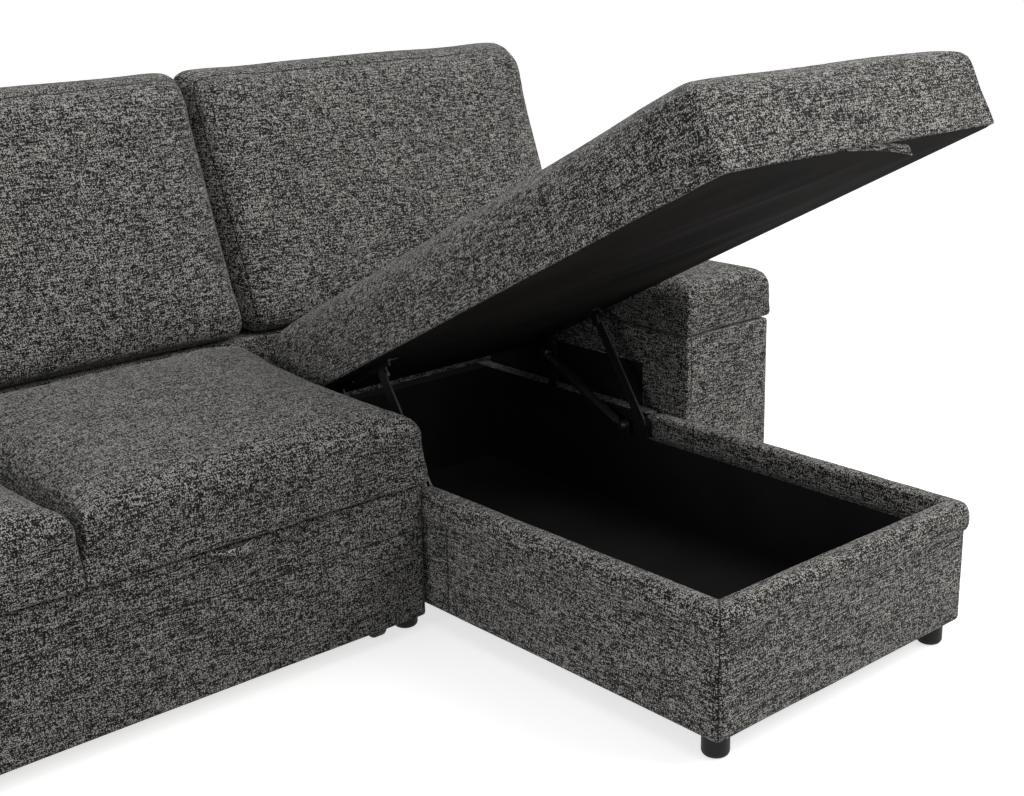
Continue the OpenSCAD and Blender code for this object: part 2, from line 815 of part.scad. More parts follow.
// The cap stands out over the pocket side of the arm, and ends at the backrest cushion
module arm_cap(x0) {
    long = arm_len - cap_back_gap;
    color(TWEED) translate([x0 + (arm_w + cap_out) / 2, arm_y0 + long / 2, cap_z])
        cushion([arm_w + cap_out, long, cap_h], cap_edge, cap_foot, cap_crown, cap_belly, cap_square_share, 0, cap_steps);
}

// An open pocket on the outer face of the arm, drawn with that face on X = 0
module arm_pocket() {
    pocket_len = arm_len - 2 * pocket_inset;
    pocket_h = cap_z - pocket_drop - leg_h - pocket_foot;
    translate([0, arm_y0 + pocket_inset, leg_h + pocket_foot]) difference() {
        cube([pocket_d, pocket_len, pocket_h]);
        translate([-over, pocket_wall, pocket_wall])
            cube([pocket_d - pocket_wall + over, pocket_len - 2 * pocket_wall, pocket_h]);
    }
}

module right_arm_frame() {
    arm_frame(right_arm_x0);
}

module right_arm_cap() {
    arm_cap(right_arm_x0);
}

module right_arm_pocket() {
    color(TWEED) translate([right_arm_x0 + arm_w, 0, 0]) arm_pocket();
}

module right_arm_lining() {
    color(LINING) translate([right_arm_x0 - lining_t, arm_y0 + arm_lining_d, leg_h])
        cube([lining_t, arm_len - arm_lining_d - face_gap, arm_lining_top - leg_h]);
}

module left_arm_frame() {
    arm_frame(left_arm_x1 - arm_w);
}

module left_arm_cap() {
    arm_cap(left_arm_x1 - arm_w - cap_out);
}

module left_arm_pocket() {
    color(TWEED) translate([left_arm_x1 - arm_w, 0, 0]) mirror([1, 0, 0]) arm_pocket();
}

// Black boards that close the arms and the back below and hold their legs
module bottom_boards() {
    color(LINING) translate([0, 0, leg_h]) {
        for (x = [left_arm_x1 - arm_w, right_arm_x0]) translate([x, arm_y0, 0])
            linear_extrude(bottom_t) round_rect([arm_w, arm_len - face_gap], arm_corner_r);
        translate([back_x0, back_base_y, 0]) cube([back_w, back_base_d - rear_cover_t, bottom_t]);
    }
}

// Legs under the seat base, the arms and the back
module base_legs() {
    base_leg_x = base_wall_t / 2;
    arm_leg_x = [left_arm_x1 - arm_w / 2, right_arm_x0 + arm_w / 2];
    color(PLASTIC) {
        for (x = [base_x0 + base_leg_x, base_x1 - base_leg_x])
            translate([x, base_y0 + leg_d / 2 + over, 0]) leg();
        for (x = arm_leg_x) translate([x, arm_y0 + leg_d, 0]) leg();
        for (x = [back_x0 + leg_d, base_x0 + base_leg_x, base_x1 - base_leg_x, back_x1 - leg_d])
            translate([x, back_y - leg_d, 0]) leg();
    }
}

// Steel plates that tie the chaise to the seat base and the arm
joint_len = 90;
joint_h = 40;
joint_back = 392;

module joining_plates() {
    color(STEEL) {
        translate([chaise_x0 - roll_out, back_base_y - joint_back, leg_h + joint_h]) cube([roll_out, joint_len, joint_h]);
        translate([chaise_x1, back_base_y - joint_back, leg_h + joint_h]) cube([arm_gap - lining_t, joint_len, joint_h]);
    }
}

// Pull-out bed
bed_side_gap = 10;
rail_w = 30;
rail_z = 58;
rail_h = 70;
slat_t = 10;
slat_w = 60;
slat_count = 7;
bed_rear_gap = 12;
bed_x0 = base_x0 + base_wall_t + bed_side_gap;
bed_x1 = base_x1 - base_wall_t - bed_side_gap;
bed_y0 = board_y0 + board_t;
bed_y1 = back_base_y - bed_rear_gap;
board_x0 = left_arm_x1 + roll_out;
board_x1 = chaise_x0 - roll_out - 2 * over;

module bed_front_board() {
    board_r = board_t / 2;
    color(TWEED_LIGHT) translate([board_x0, board_y0, board_z]) in_yz(board_x1 - board_x0)
        round_rect([board_t, board_top_z - board_z], board_r - face_gap);
}

tab_w = 94;
tab_h = 20;
tab_t = 7;
tab_x = 414;
tab_gap = 4;

module bed_pull_tab() {
    color(TWEED) translate([chaise_x0 - tab_x - tab_w / 2, board_y0 - tab_t, board_top_z - tab_gap - tab_h])
        cube([tab_w, tab_t, tab_h]);
}

module bed_side_rails() {
    color(STEEL) for (x = [bed_x0, bed_x1 - rail_w])
        translate([x, bed_y0, rail_z]) cube([rail_w, bed_y1 - bed_y0, rail_h]);
}

module bed_rear_rail() {
    color(STEEL) translate([bed_x0 + rail_w, bed_y1 - rail_w, rail_z])
        cube([bed_x1 - bed_x0 - 2 * rail_w, rail_w, rail_h]);
}

module bed_slats() {
    slat_step = (bed_y1 - bed_y0 - slat_w) / (slat_count - 1);
    color(WOOD) for (i = [0:slat_count - 1])
        translate([bed_x0, bed_y0 + i * slat_step, rail_z + rail_h]) cube([bed_x1 - bed_x0, slat_w, slat_t]);
}

module bed_mattress() {
    color(TICKING) translate([bed_x0, bed_y0, rail_z + rail_h + slat_t])
        linear_extrude(mattress_t) round_rect([bed_x1 - bed_x0, bed_y1 - bed_y0], corner_r);
}

guide_gap = 0.3;

module bed_guides() {
    guide_h = rail_h / 2;
    guide_t = bed_side_gap - guide_gap;
    color(PLASTIC) for (x = [bed_x0 - bed_side_gap, bed_x1 + bed_side_gap - guide_t])
        translate([x, base_y0, rail_z + rail_h / 4]) cube([guide_t, bed_y1 - base_y0, guide_h]);
}

// Rollers under the front and rear corners of the bed
fork_t = 2;
fork_gap = 1;
axle_r = 4;
roller_inset = 42;
roller_front_d = 30;
roller_rear_d = 50;
fork_w = 30;
roller_xs = [bed_x0 + roller_inset, bed_x1 - roller_inset];
roller_ys = [bed_y0 + roller_front_d, bed_y1 - roller_rear_d];
fork_out = roller_w / 2 + fork_gap;

module roller_forks() {
    color(STEEL) for (x = roller_xs, y = roller_ys) translate([x, y, 0]) {
        translate([-fork_out - fork_t, -fork_w / 2, rail_z - fork_t]) cube([2 * (fork_out + fork_t), fork_w, fork_t]);
        for (side = [-fork_out - fork_t, fork_out]) translate([side, 0, 0]) in_yz(fork_t) difference() {
            union() {
                translate([-fork_w / 2, roller_r]) square([fork_w, rail_z - roller_r - fork_t]);
                translate([0, roller_r]) circle(d = fork_w - over, $fn = round_fn);
            }
            translate([0, roller_r]) circle(axle_r, $fn = round_fn);
        }
    }
}

module roller_axles() {
    color(STEEL) for (x = roller_xs, y = roller_ys) translate([x - fork_out - fork_t - over, y, roller_r])
        rotate([0, 90, 0]) cylinder(h = 2 * (fork_out + fork_t + over), r = axle_r, $fn = round_fn);
}

module roller_pair(y) {
    tread_r = 3;
    color(PLASTIC) for (x = roller_xs) translate([x - roller_w / 2, y, roller_r]) rotate([0, 90, 0])
        rotate_extrude($fn = round_fn) difference() {
            union() {
                translate([axle_r + fit_gap, 0]) square([roller_r - tread_r - axle_r - fit_gap, roller_w]);
                translate([axle_r + fit_gap, tread_r])
                    square([roller_r - axle_r - fit_gap, roller_w - 2 * tread_r]);
                for (z = [tread_r, roller_w - tread_r]) translate([roller_r - tread_r, z]) circle(tread_r, $fn = round_fn);
            }
        }
}

module front_rollers() {
    roller_pair(roller_ys[0]);
}

module rear_rollers() {
    roller_pair(roller_ys[1]);
}

chaise_front_panel();
chaise_left_panel();
chaise_right_panel();
chaise_rear_panel();
chaise_bottom();
chaise_lining();
rim_roll_front();
rim_roll_left();
rim_roll_right();
chaise_legs();
lift_base_plates();
lift_plate_screws();
base_pivot_pins();
spring_brackets();
rear_links();
spring_posts();
front_links();
front_link_studs();
spring_sleeves();
spring_rods();
lid_hinge_plates();
lid_pivot_pins();
lid_frame();
lid_cushion();
lid_dust_cover();
lid_pull_loop();
seat_base_sides();
seat_front_beam();
seat_deck();
seat_cushion_middle();
seat_cushion_left();
back_base();
backrest_frame();
backrest_rear_cover();
back_cushion_right();
back_cushion_middle();
back_cushion_left();
right_arm_frame();
right_arm_cap();
right_arm_pocket();
right_arm_lining();
left_arm_frame();
left_arm_cap();
left_arm_pocket();
bottom_boards();
base_legs();
joining_plates();
bed_front_board();
bed_pull_tab();
bed_side_rails();
bed_rear_rail();
bed_slats();
bed_mattress();
bed_guides();
roller_forks();
roller_axles();
front_rollers();
rear_rollers();
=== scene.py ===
import bpy
import json
from math import cos, sin, pi, radians, tanh
from mathutils import Matrix, Vector, noise


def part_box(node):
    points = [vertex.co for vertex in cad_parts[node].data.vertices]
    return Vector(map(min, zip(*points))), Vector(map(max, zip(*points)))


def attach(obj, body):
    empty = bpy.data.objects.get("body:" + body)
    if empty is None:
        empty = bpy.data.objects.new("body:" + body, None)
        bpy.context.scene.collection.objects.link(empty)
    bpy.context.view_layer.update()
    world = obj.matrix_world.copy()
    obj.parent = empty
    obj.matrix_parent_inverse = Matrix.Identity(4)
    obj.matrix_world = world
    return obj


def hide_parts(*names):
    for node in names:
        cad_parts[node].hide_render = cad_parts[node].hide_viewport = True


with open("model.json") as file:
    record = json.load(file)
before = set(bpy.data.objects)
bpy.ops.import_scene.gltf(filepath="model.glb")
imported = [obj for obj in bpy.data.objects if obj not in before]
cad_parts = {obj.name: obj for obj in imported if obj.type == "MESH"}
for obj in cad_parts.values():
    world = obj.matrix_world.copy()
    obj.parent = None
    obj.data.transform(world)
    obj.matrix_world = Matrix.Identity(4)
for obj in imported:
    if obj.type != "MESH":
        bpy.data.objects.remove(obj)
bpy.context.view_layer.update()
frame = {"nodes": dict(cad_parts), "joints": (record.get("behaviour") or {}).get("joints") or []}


# Camera.
# The photograph looks down at the sofa from its front left, from a little above the backrest.
# Its place is measured from the front left corner of the storage chaise.
box_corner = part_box("chaise_front_panel")[0].copy()
box_corner.z = 0
camera_from_corner = Vector((-1.6400, -1.4235, 1.2745))
camera_turn, camera_down, camera_roll = radians(41.016), radians(17.194), radians(-1.3086)
sensor_width = 36.0
photo_width, focal_pixels = 1024, 1578.13

look = Vector((sin(camera_turn) * cos(camera_down), cos(camera_turn) * cos(camera_down), -sin(camera_down)))
level_right = Vector((cos(camera_turn), -sin(camera_turn), 0))
level_up = level_right.cross(look)
camera_right = level_right * cos(camera_roll) + level_up * sin(camera_roll)
camera_up = level_up * cos(camera_roll) - level_right * sin(camera_roll)

bpy.ops.object.camera_add(location=box_corner + camera_from_corner)
camera = bpy.context.object
camera.rotation_euler = Matrix((camera_right, camera_up, -look)).transposed().to_euler()
camera.data.sensor_width = sensor_width
camera.data.lens = focal_pixels / photo_width * sensor_width
camera.data.clip_end = 200
bpy.context.scene.camera = camera


# Chaise cover.
# Three boards wrapped in wadding and tweed make the outside of the storage box, sewn at the front corners.
# The tweed is a plain weave of thick charcoal, grey and off-white yarns, with slubs that run along the weft.
cover_corner_radius = 0.012
cover_foot_radius = 0.011
cover_edge_radius = 0.005
cover_unevenness = 0.0022
seam_width = 0.0022


def only(*pieces):
    """Selects these pieces and nothing else."""
    if bpy.context.object and bpy.context.object.mode != "OBJECT":
        bpy.ops.object.mode_set(mode="OBJECT")
    bpy.ops.object.select_all(action="DESELECT")
    for piece in pieces:
        piece.select_set(True)
    bpy.context.view_layer.objects.active = pieces[0]


def apply_modifier(piece, kind, **settings):
    """Adds a modifier with these settings and applies it."""
    only(piece)
    modifier = piece.modifiers.new(kind.title(), kind)
    for name, value in settings.items():
        setattr(modifier, name, value)
    bpy.ops.object.modifier_apply(modifier=modifier.name)


def pick_edges(piece, wanted):
    """In edit mode, selects the edges whose middle and direction pass the test."""
    bpy.ops.mesh.select_mode(type="EDGE")
    bpy.ops.mesh.select_all(action="DESELECT")
    bpy.ops.object.mode_set(mode="OBJECT")
    for edge in piece.data.edges:
        a, b = (piece.data.vertices[i].co for i in edge.vertices)
        edge.select = wanted((a + b) / 2, (b - a).normalized())
    bpy.ops.object.mode_set(mode="EDIT")


def edit_all():
    """Goes into edit mode with the whole mesh selected."""
    bpy.ops.object.mode_set(mode="EDIT")
    bpy.ops.mesh.select_all(action="SELECT")


def new_piece(name, mesh):
    """Puts a mesh into the scene as a new object."""
    piece = bpy.data.objects.new(name, mesh)
    bpy.context.scene.collection.objects.link(piece)
    return piece


def cut_in_slices(step):
    """In edit mode, cuts the whole mesh across X, Y and Z at even distances."""
    mesh = bpy.context.object.data
    bpy.ops.object.mode_set(mode="OBJECT")
    points = [vertex.co.copy() for vertex in mesh.vertices]
    bpy.ops.object.mode_set(mode="EDIT")
    for axis in range(3):
        low = min(point[axis] for point in points)
        high = max(point[axis] for point in points)
        count = int((high - low) / step)
        for i in range(1, count + 1):
            place = Vector((0, 0, 0))
            place[axis] = low + (high - low) * i / (count + 1)
            way = Vector((0, 0, 0))
            way[axis] = 1
            bpy.ops.mesh.select_all(action="SELECT")
            bpy.ops.mesh.bisect(plane_co=place, plane_no=way)


def roughen(piece, height, scale):
    """Lets a covered surface swell and sink a little, as wadding does."""
    cloud = bpy.data.textures.new(piece.name + " wadding", "CLOUDS")
    cloud.noise_scale = scale
    cloud.noise_depth = 1
    apply_modifier(piece, "DISPLACE", texture=cloud, texture_coords="LOCAL", strength=height, mid_level=0.5)


def smooth(piece, degrees=40):
    """Shades a piece smooth, with its sharper edges kept."""
    only(piece)
    bpy.ops.object.shade_smooth_by_angle(angle=radians(degrees))


def node(tree, kind, inputs=None, **settings):
    """Adds a shader node. An input is a value, or a socket of another node."""
    made = tree.nodes.new(kind)
    for name, value in settings.items():
        setattr(made, name, value)
    for key, value in (inputs or {}).items():
        if isinstance(value, bpy.types.NodeSocket):
            tree.links.new(value, made.inputs[key])
        else:
            made.inputs[key].default_value = value
    return made


def math(tree, operation, a, b=0.0, c=0.0):
    """A Math node's answer."""
    return node(tree, "ShaderNodeMath", {0: a, 1: b, 2: c}, operation=operation).outputs[0]


def blend_value(tree, factor, a, b):
    """A number between a and b."""
    return node(tree, "ShaderNodeMix", {0: factor, 2: a, 3: b}, data_type="FLOAT").outputs[0]


def blend_color(tree, factor, a, b):
    """A colour between a and b."""
    return node(tree, "ShaderNodeMix", {0: factor, 6: a, 7: b}, data_type="RGBA").outputs[2]


def vector(tree, x, y, z=0.0):
    """A vector from three numbers."""
    return node(tree, "ShaderNodeCombineXYZ", {0: x, 1: y, 2: z}).outputs[0]


def noise_value(tree, place, scale, detail=1.0):
    """A soft random value at a place."""
    made = node(tree, "ShaderNodeTexNoise", {"Vector": place, "Scale": scale, "Detail": detail})
    return made.outputs["Fac"]


def step_up(tree, value, low, high):
    """0 below low, 1 above high, and a smooth rise between them."""
    made = node(tree, "ShaderNodeMapRange", {"Value": value, "From Min": low, "From Max": high},
                interpolation_type="SMOOTHSTEP")
    return made.outputs["Result"]


def new_material(name):
    """A material, with its nodes and its shader."""
    material = bpy.data.materials.new(name)
    material.use_nodes = True
    return material, material.node_tree, material.node_tree.nodes["Principled BSDF"]


def new_group(name, inputs, outputs):
    """An empty shader node group. Inputs are (name, kind, value), and outputs are (name, kind)."""
    group = bpy.data.node_groups.new(name, "ShaderNodeTree")
    for label, kind, value in inputs:
        socket = group.interface.new_socket(label, in_out="INPUT", socket_type="NodeSocket" + kind)
        if value is not None:
            socket.default_value = value
    for label, kind in outputs:
        group.interface.new_socket(label, in_out="OUTPUT", socket_type="NodeSocket" + kind)
    return group, group.nodes.new("NodeGroupInput").outputs, group.nodes.new("NodeGroupOutput").inputs


def make_cloth_plane():
    """Group: finds the two directions in which a cloth's threads run on the face that is being shaded."""
    group, given, out = new_group(
        "Cloth plane", [("Place", "Vector", None), ("Facing", "Vector", None), ("Tilt", "Float", 0.0)],
        [("U", "Float"), ("V", "Float"), ("Top", "Float")])
    turned = [node(group, "ShaderNodeVectorRotate", {"Vector": given[name], "Angle": given["Tilt"]},
                   rotation_type="X_AXIS").outputs[0] for name in ("Place", "Facing")]
    x, y, z = node(group, "ShaderNodeSeparateXYZ", {0: turned[0]}).outputs
    facing = node(group, "ShaderNodeSeparateXYZ", {0: turned[1]}).outputs
    nx, ny, nz = [math(group, "ABSOLUTE", part) for part in facing]
    sideways = math(group, "GREATER_THAN", nx, math(group, "MAXIMUM", ny, nz))
    upwards = math(group, "GREATER_THAN", nz, math(group, "MAXIMUM", nx, ny))
    group.links.new(blend_value(group, sideways, x, y), out["U"])
    group.links.new(blend_value(group, upwards, z, y), out["V"])
    group.links.new(step_up(group, nz, 0.5, 0.95), out["Top"])
    return group


cloth_plane = make_cloth_plane()


def make_weave():
    """Group: a plain weave of mixed yarns. Each yarn changes its tone along its length."""
    group, given, out = new_group(
        "Mixed yarn weave",
        [("U", "Float", 0.0), ("V", "Float", 0.0), ("Yarn", "Float", 0.002), ("Contrast", "Float", 1.0),
         ("Dark", "Color", None), ("Middle", "Color", None), ("Light", "Color", None)],
        [("Color", "Color"), ("Height", "Float")])
    sway_scale, sway_yarns = 14.0, 1.6
    weft_slub, warp_slub = 0.08, 0.13
    unlike_neighbours = 3.71
    flat = vector(group, given["U"], given["V"])
    sway = node(group, "ShaderNodeTexNoise", {"Vector": flat, "Scale": sway_scale, "Detail": 2.0})
    sways = node(group, "ShaderNodeSeparateColor", {0: sway.outputs["Color"]}).outputs
    u, v = (math(group, "ADD", math(group, "DIVIDE", given[letter], given["Yarn"]),
                 math(group, "MULTIPLY", bend, sway_yarns)) for letter, bend in zip("UV", sways))
    column, row = math(group, "FLOOR", u), math(group, "FLOOR", v)
    over = math(group, "FLOORED_MODULO", math(group, "ADD", row, column), 2.0)
    speck = node(group, "ShaderNodeTexWhiteNoise", {"Vector": vector(group, column, row)}, noise_dimensions="2D")
    weft, warp = (noise_value(group, vector(group, math(group, "MULTIPLY", along, slub),
                                            math(group, "MULTIPLY", thread, unlike_neighbours), level), 1.0)
                  for along, slub, thread, level in ((u, weft_slub, row, 4.3), (v, warp_slub, column, 31.7)))
    patches = noise_value(group, flat, 11.0, 2.0)
    tone = 0.0
    for part, share in ((speck.outputs["Value"], 0.95), (weft, 1.35), (warp, 0.85), (patches, 0.16)):
        tone = math(group, "MULTIPLY_ADD", math(group, "SUBTRACT", part, 0.5), share, tone)
    tone = math(group, "MULTIPLY_ADD", tone, given["Contrast"], 0.5)
    color = blend_color(group, step_up(group, tone, 0.15, 0.55), given["Dark"], given["Middle"])
    color = blend_color(group, step_up(group, tone, 0.60, 1.05), color, given["Light"])
    group.links.new(color, out["Color"])
    crowns = []
    for thread in (v, u):
        side = math(group, "MULTIPLY_ADD", math(group, "FRACT", thread), 2.0, -1.0)
        crowns.append(math(group, "SUBTRACT", 1.0, math(group, "MULTIPLY", side, side)))
    rise = blend_value(group, over, crowns[0], crowns[1])
    group.links.new(math(group, "MULTIPLY_ADD", tone, 0.8, math(group, "MULTIPLY", rise, 0.6)), out["Height"])
    return group


weave = make_weave()


def make_seam():
    """Group: a sewn line where a flat plane cuts the surface. Its groove is darkened with painted shade, and it sinks
    in.
    """
    group, given, out = new_group(
        "Sewn seam",
        [("Place", "Vector", None), ("Plane", "Vector", None), ("Distance", "Float", 0.0), ("Width", "Float", 0.002)],
        [("Groove", "Float"), ("Depth", "Float")])
    wander_scale, wander_height = 40.0, 0.0015
    along = node(group, "ShaderNodeVectorMath", {0: given["Place"], 1: given["Plane"]},
                 operation="DOT_PRODUCT").outputs["Value"]
    wander = math(group, "MULTIPLY", math(group, "SUBTRACT", noise_value(group, given["Place"], wander_scale), 0.5),
                  wander_height)
    away = math(group, "ABSOLUTE", math(group, "ADD", math(group, "SUBTRACT", along, given["Distance"]), wander))
    share = math(group, "DIVIDE", away, given["Width"])
    group.links.new(math(group, "SUBTRACT", 1.0, step_up(group, share, 0.3, 1.0)), out["Groove"])
    group.links.new(step_up(group, share, 0.0, 4.0), out["Depth"])
    return group


seam_line = make_seam()

tweed_dark = (0.0065, 0.0063, 0.0063, 1)
tweed_middle = (0.037, 0.036, 0.0355, 1)
tweed_light = (0.47, 0.457, 0.438, 1)
tweed_yarn = 0.00142
tweed_contrast = 1.32
# Upward faces get a stronger yarn contrast, painted in for the light and shade of the yarns' relief seen at a low
# angle.
tweed_top_relief_shade_contrast = 0.7
weave_depth, seam_depth = 0.35, 2.0
# Seams get painted shade: a near-black colour blended into their grooves.
seam_painted_shade_strength, seam_painted_shade = 0.8, (0.008, 0.008, 0.008, 1)


def finish(tree, surface, color, height, strength, depth):
    """Gives a shader a colour and a relief."""
    bump = node(tree, "ShaderNodeBump", {"Strength": strength, "Distance": depth, "Height": height})
    tree.links.new(color, surface.inputs["Base Color"])
    tree.links.new(bump.outputs["Normal"], surface.inputs["Normal"])


def lay_weave(tree, yarn, shades, tilt=0.0):
    """Lays the weave over a piece by where it is and how it faces. Shades are its dark, middle and light yarns."""
    place = tree.nodes.new("ShaderNodeTexCoord").outputs
    plane = node(tree, "ShaderNodeGroup", {"Place": place["Object"], "Facing": place["Normal"], "Tilt": tilt},
                 node_tree=cloth_plane).outputs
    yarns = node(tree, "ShaderNodeGroup", {"U": plane["U"], "V": plane["V"], "Yarn": yarn, "Dark": shades[0],
                                           "Middle": shades[1], "Light": shades[2]}, node_tree=weave)
    return place, plane, yarns


def tweed(name, tilt=0.0, seams=(), painted_light_scale=1.0):
    """The sofa's tweed. Seams are planes, each a direction and a distance, and tilt lays the threads along a slope. The
    light scale lightens or darkens the yarns as painted light or shade, and seams get painted shade in their grooves.
    """
    material, tree, cloth = new_material(name)
    # All three yarns are scaled by the light scale: painted light or shade on this piece.
    shades = [[part * painted_light_scale for part in shade[:3]] + [1] for shade in (tweed_dark, tweed_middle, tweed_light)]
    place, plane, yarns = lay_weave(tree, tweed_yarn, shades, tilt)
    # Painted light and shade: the contrast rises on upward faces.
    contrast = math(tree, "MULTIPLY_ADD", plane["Top"], tweed_top_relief_shade_contrast, tweed_contrast)
    tree.links.new(contrast, yarns.inputs["Contrast"])
    color, height = yarns.outputs["Color"], yarns.outputs["Height"]
    height = math(tree, "MULTIPLY", height, weave_depth)
    for direction, distance in seams:
        seam = node(tree, "ShaderNodeGroup", {"Place": place["Object"], "Plane": Vector(direction).normalized(),
                                              "Distance": distance, "Width": seam_width}, node_tree=seam_line)
        # Painted shade darkens the seam's groove.
        color = blend_color(tree, math(tree, "MULTIPLY", seam.outputs["Groove"], seam_painted_shade_strength), color, seam_painted_shade)
        height = math(tree, "ADD", height, math(tree, "MULTIPLY", seam.outputs["Depth"], seam_depth))
    finish(tree, cloth, color, height, 0.5, 0.0010)
    cloth.inputs["Roughness"].default_value = 0.92
    cloth.inputs["Specular IOR Level"].default_value = 0.08
    cloth.inputs["Sheen Weight"].default_value = 0.12
    cloth.inputs["Sheen Roughness"].default_value = 0.45
    return material


def dress(piece, material):
    """Gives a piece this one material."""
    piece.data.materials.clear()
    piece.data.materials.append(material)


def new_box(name, low, high):
    """A plain box between two corners, with its place in its mesh, ready to be shaped in edit mode."""
    bpy.ops.object.select_all(action="DESELECT")
    bpy.ops.mesh.primitive_cube_add(size=1, location=(low + high) / 2)
    piece = bpy.context.object
    piece.name = name
    piece.scale = high - low
    bpy.ops.object.transform_apply(location=True, rotation=True, scale=True)
    return piece


def wrapped_board(name, low, high, radius=cover_edge_radius, step=0.06, unevenness=cover_unevenness):
    """A board wrapped in wadding and cloth, with soft edges."""
    board = new_box(name, low, high)
    edit_all()
    bpy.ops.mesh.bevel(offset=radius, segments=4)
    cut_in_slices(step)
    bpy.ops.object.mode_set(mode="OBJECT")
    apply_modifier(board, "SMOOTH", factor=0.3, iterations=1)
    roughen(board, unevenness, 0.22)
    smooth(board)
    return board


def join(name, *pieces):
    """Joins pieces into the first of them."""
    only(*pieces)
    bpy.ops.object.join()
    pieces[0].name = name
    return pieces[0]


def strip(name, rings):
    """A closed skin over a row of rings that all have the same number of points."""
    mesh = bpy.data.meshes.new(name)
    count = len(rings[0])
    faces = [(k * count + i, k * count + (i + 1) % count, (k + 1) * count + (i + 1) % count, (k + 1) * count + i)
             for k in range(len(rings) - 1) for i in range(count)]
    faces += [tuple(range(count))[::-1], tuple((len(rings) - 1) * count + i for i in range(count))]
    mesh.from_pydata([tuple(point) for ring in rings for point in ring], [], faces)
    piece = new_piece(name, mesh)
    only(piece)
    edit_all()
    bpy.ops.mesh.normals_make_consistent(inside=False)
    bpy.ops.object.mode_set(mode="OBJECT")
    return piece


board_low, board_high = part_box("chaise_left_panel")
front_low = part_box("chaise_front_panel")[0]
far_low, far_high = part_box("chaise_right_panel")
roll_seam_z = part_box("rim_roll_front")[0].z
roll_end_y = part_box("rim_roll_left")[1].y
board_thickness = board_high.x - board_low.x

corner_centres = (Vector((board_low.x + cover_corner_radius, front_low.y + cover_corner_radius, 0)),
                  Vector((far_high.x - cover_corner_radius, front_low.y + cover_corner_radius, 0)))
inner_corners = (Vector((board_high.x, front_low.y + board_thickness, 0)),
                 Vector((far_low.x, front_low.y + board_thickness, 0)))
foot_bend = [(cover_foot_radius * (1 - cos(turn)), cover_foot_radius * (1 - sin(turn)))
             for turn in (pi / 2 * k / 4 for k in range(5))]
cover_levels = [(depth, board_low.z + rise) for depth, rise in foot_bend[::-1]]
cover_levels += [(0.0, board_low.z + cover_foot_radius + (roll_seam_z - board_low.z - cover_foot_radius) * k / 5)
                 for k in range(1, 6)]


def cover_ring(centre, way, inner):
    """The cover's section: up its outer face from the rounded foot, and back to the board's inner side."""
    outer = [centre + way * (cover_corner_radius - depth) + Vector((0, 0, z)) for depth, z in cover_levels]
    return [inner + Vector((0, 0, board_low.z))] + outer + [inner + Vector((0, 0, roll_seam_z))]


def straight_rings(start, end, way, count):
    """Sections along a straight side, whose inner side is a board's thickness further in."""
    inward = way * (cover_corner_radius - board_thickness)
    places = [start.lerp(end, k / count) for k in range(count)]
    return [cover_ring(place, way, place + inward) for place in places]


def corner_rings(centre, side, inner, turns):
    """Sections round a front corner, which all share the boards' inner corner."""
    return [cover_ring(centre, Vector((side * cos(turn), -sin(turn), 0)), inner) for turn in turns]


quarter = [pi / 2 * k / 6 for k in range(7)]
left_end, right_end = (Vector((centre.x, board_high.y, 0)) for centre in corner_centres)
cover_rings = straight_rings(left_end, corner_centres[0], Vector((-1, 0, 0)), 24)
cover_rings += corner_rings(corner_centres[0], -1, inner_corners[0], quarter)
cover_rings += straight_rings(corner_centres[0], corner_centres[1], Vector((0, -1, 0)), 14)[1:]
cover_rings += corner_rings(corner_centres[1], 1, inner_corners[1], quarter[::-1])
cover_rings += straight_rings(right_end, corner_centres[1], Vector((1, 0, 0)), 24)[::-1]
chaise_cover = strip("chaise_cover", cover_rings)
roughen(chaise_cover, cover_unevenness, 0.2)
smooth(chaise_cover, 50)
for side_low, side_high in ((board_low, board_high), (far_low, far_high)):
    shoulder = wrapped_board("chaise_shoulder", Vector((side_low.x, roll_end_y + 0.001, roll_seam_z - 0.01)), side_high)
    chaise_cover = join("chaise_cover", chaise_cover, shoulder)
for vertex in chaise_cover.data.vertices:
    vertex.co.z = min(vertex.co.z, board_high.z)
diagonal = 0.7071
# The corner seams get painted shade in their grooves, on the box and on the rim.
corner_seams = [((diagonal, -diagonal, 0), (front_low.x * diagonal - front_low.y * diagonal)),
                ((diagonal, diagonal, 0), (far_high.x * diagonal + front_low.y * diagonal))]
dress(chaise_cover, tweed("Tweed on the box", seams=corner_seams))
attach(chaise_cover, "sofa")
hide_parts("chaise_front_panel", "chaise_left_panel", "chaise_right_panel")


# Padded rim.
# A roll of wadding under the same tweed runs round the top of the box, and the seat comes down on it.
# It swells out over the boards below, and a seam draws it in at its foot.
roll_low, roll_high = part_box("rim_roll_front")
roll_height = roll_high.z - roll_low.z
roll_width = roll_high.y - roll_low.y
roll_inner_x = (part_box("rim_roll_left")[0].x + roll_width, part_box("rim_roll_right")[1].x - roll_width)
roll_inner_y = roll_low.y + roll_width
roll_swell_shares = [(0.80, 0.0), (0.90, 0.03), (0.96, 0.12), (0.99, 0.28), (0.99, 0.46), (0.965, 0.64), (0.91, 0.80),
                     (0.83, 0.91), (0.72, 0.97), (0.56, 1.0), (0.38, 1.0), (0.20, 0.985), (0.07, 0.95), (0.0, 0.87),
                     (0.0, 0.45), (0.0, 0.0)]


def roll_ring(place, way):
    """The roll's section at a place on the rim's inner edge, standing in the outward direction given."""
    return [place + way * (out * roll_width) + Vector((0, 0, roll_low.z + up * roll_height))
            for out, up in roll_swell_shares]


def corner_way(x_side, turn):
    """The outward direction at a corner, longer at its middle so that the corner is nearly square."""
    squareness = 7
    reach = (abs(cos(turn)) ** squareness + abs(sin(turn)) ** squareness) ** (-1 / squareness)
    return Vector((x_side * cos(turn), -sin(turn), 0)) * reach


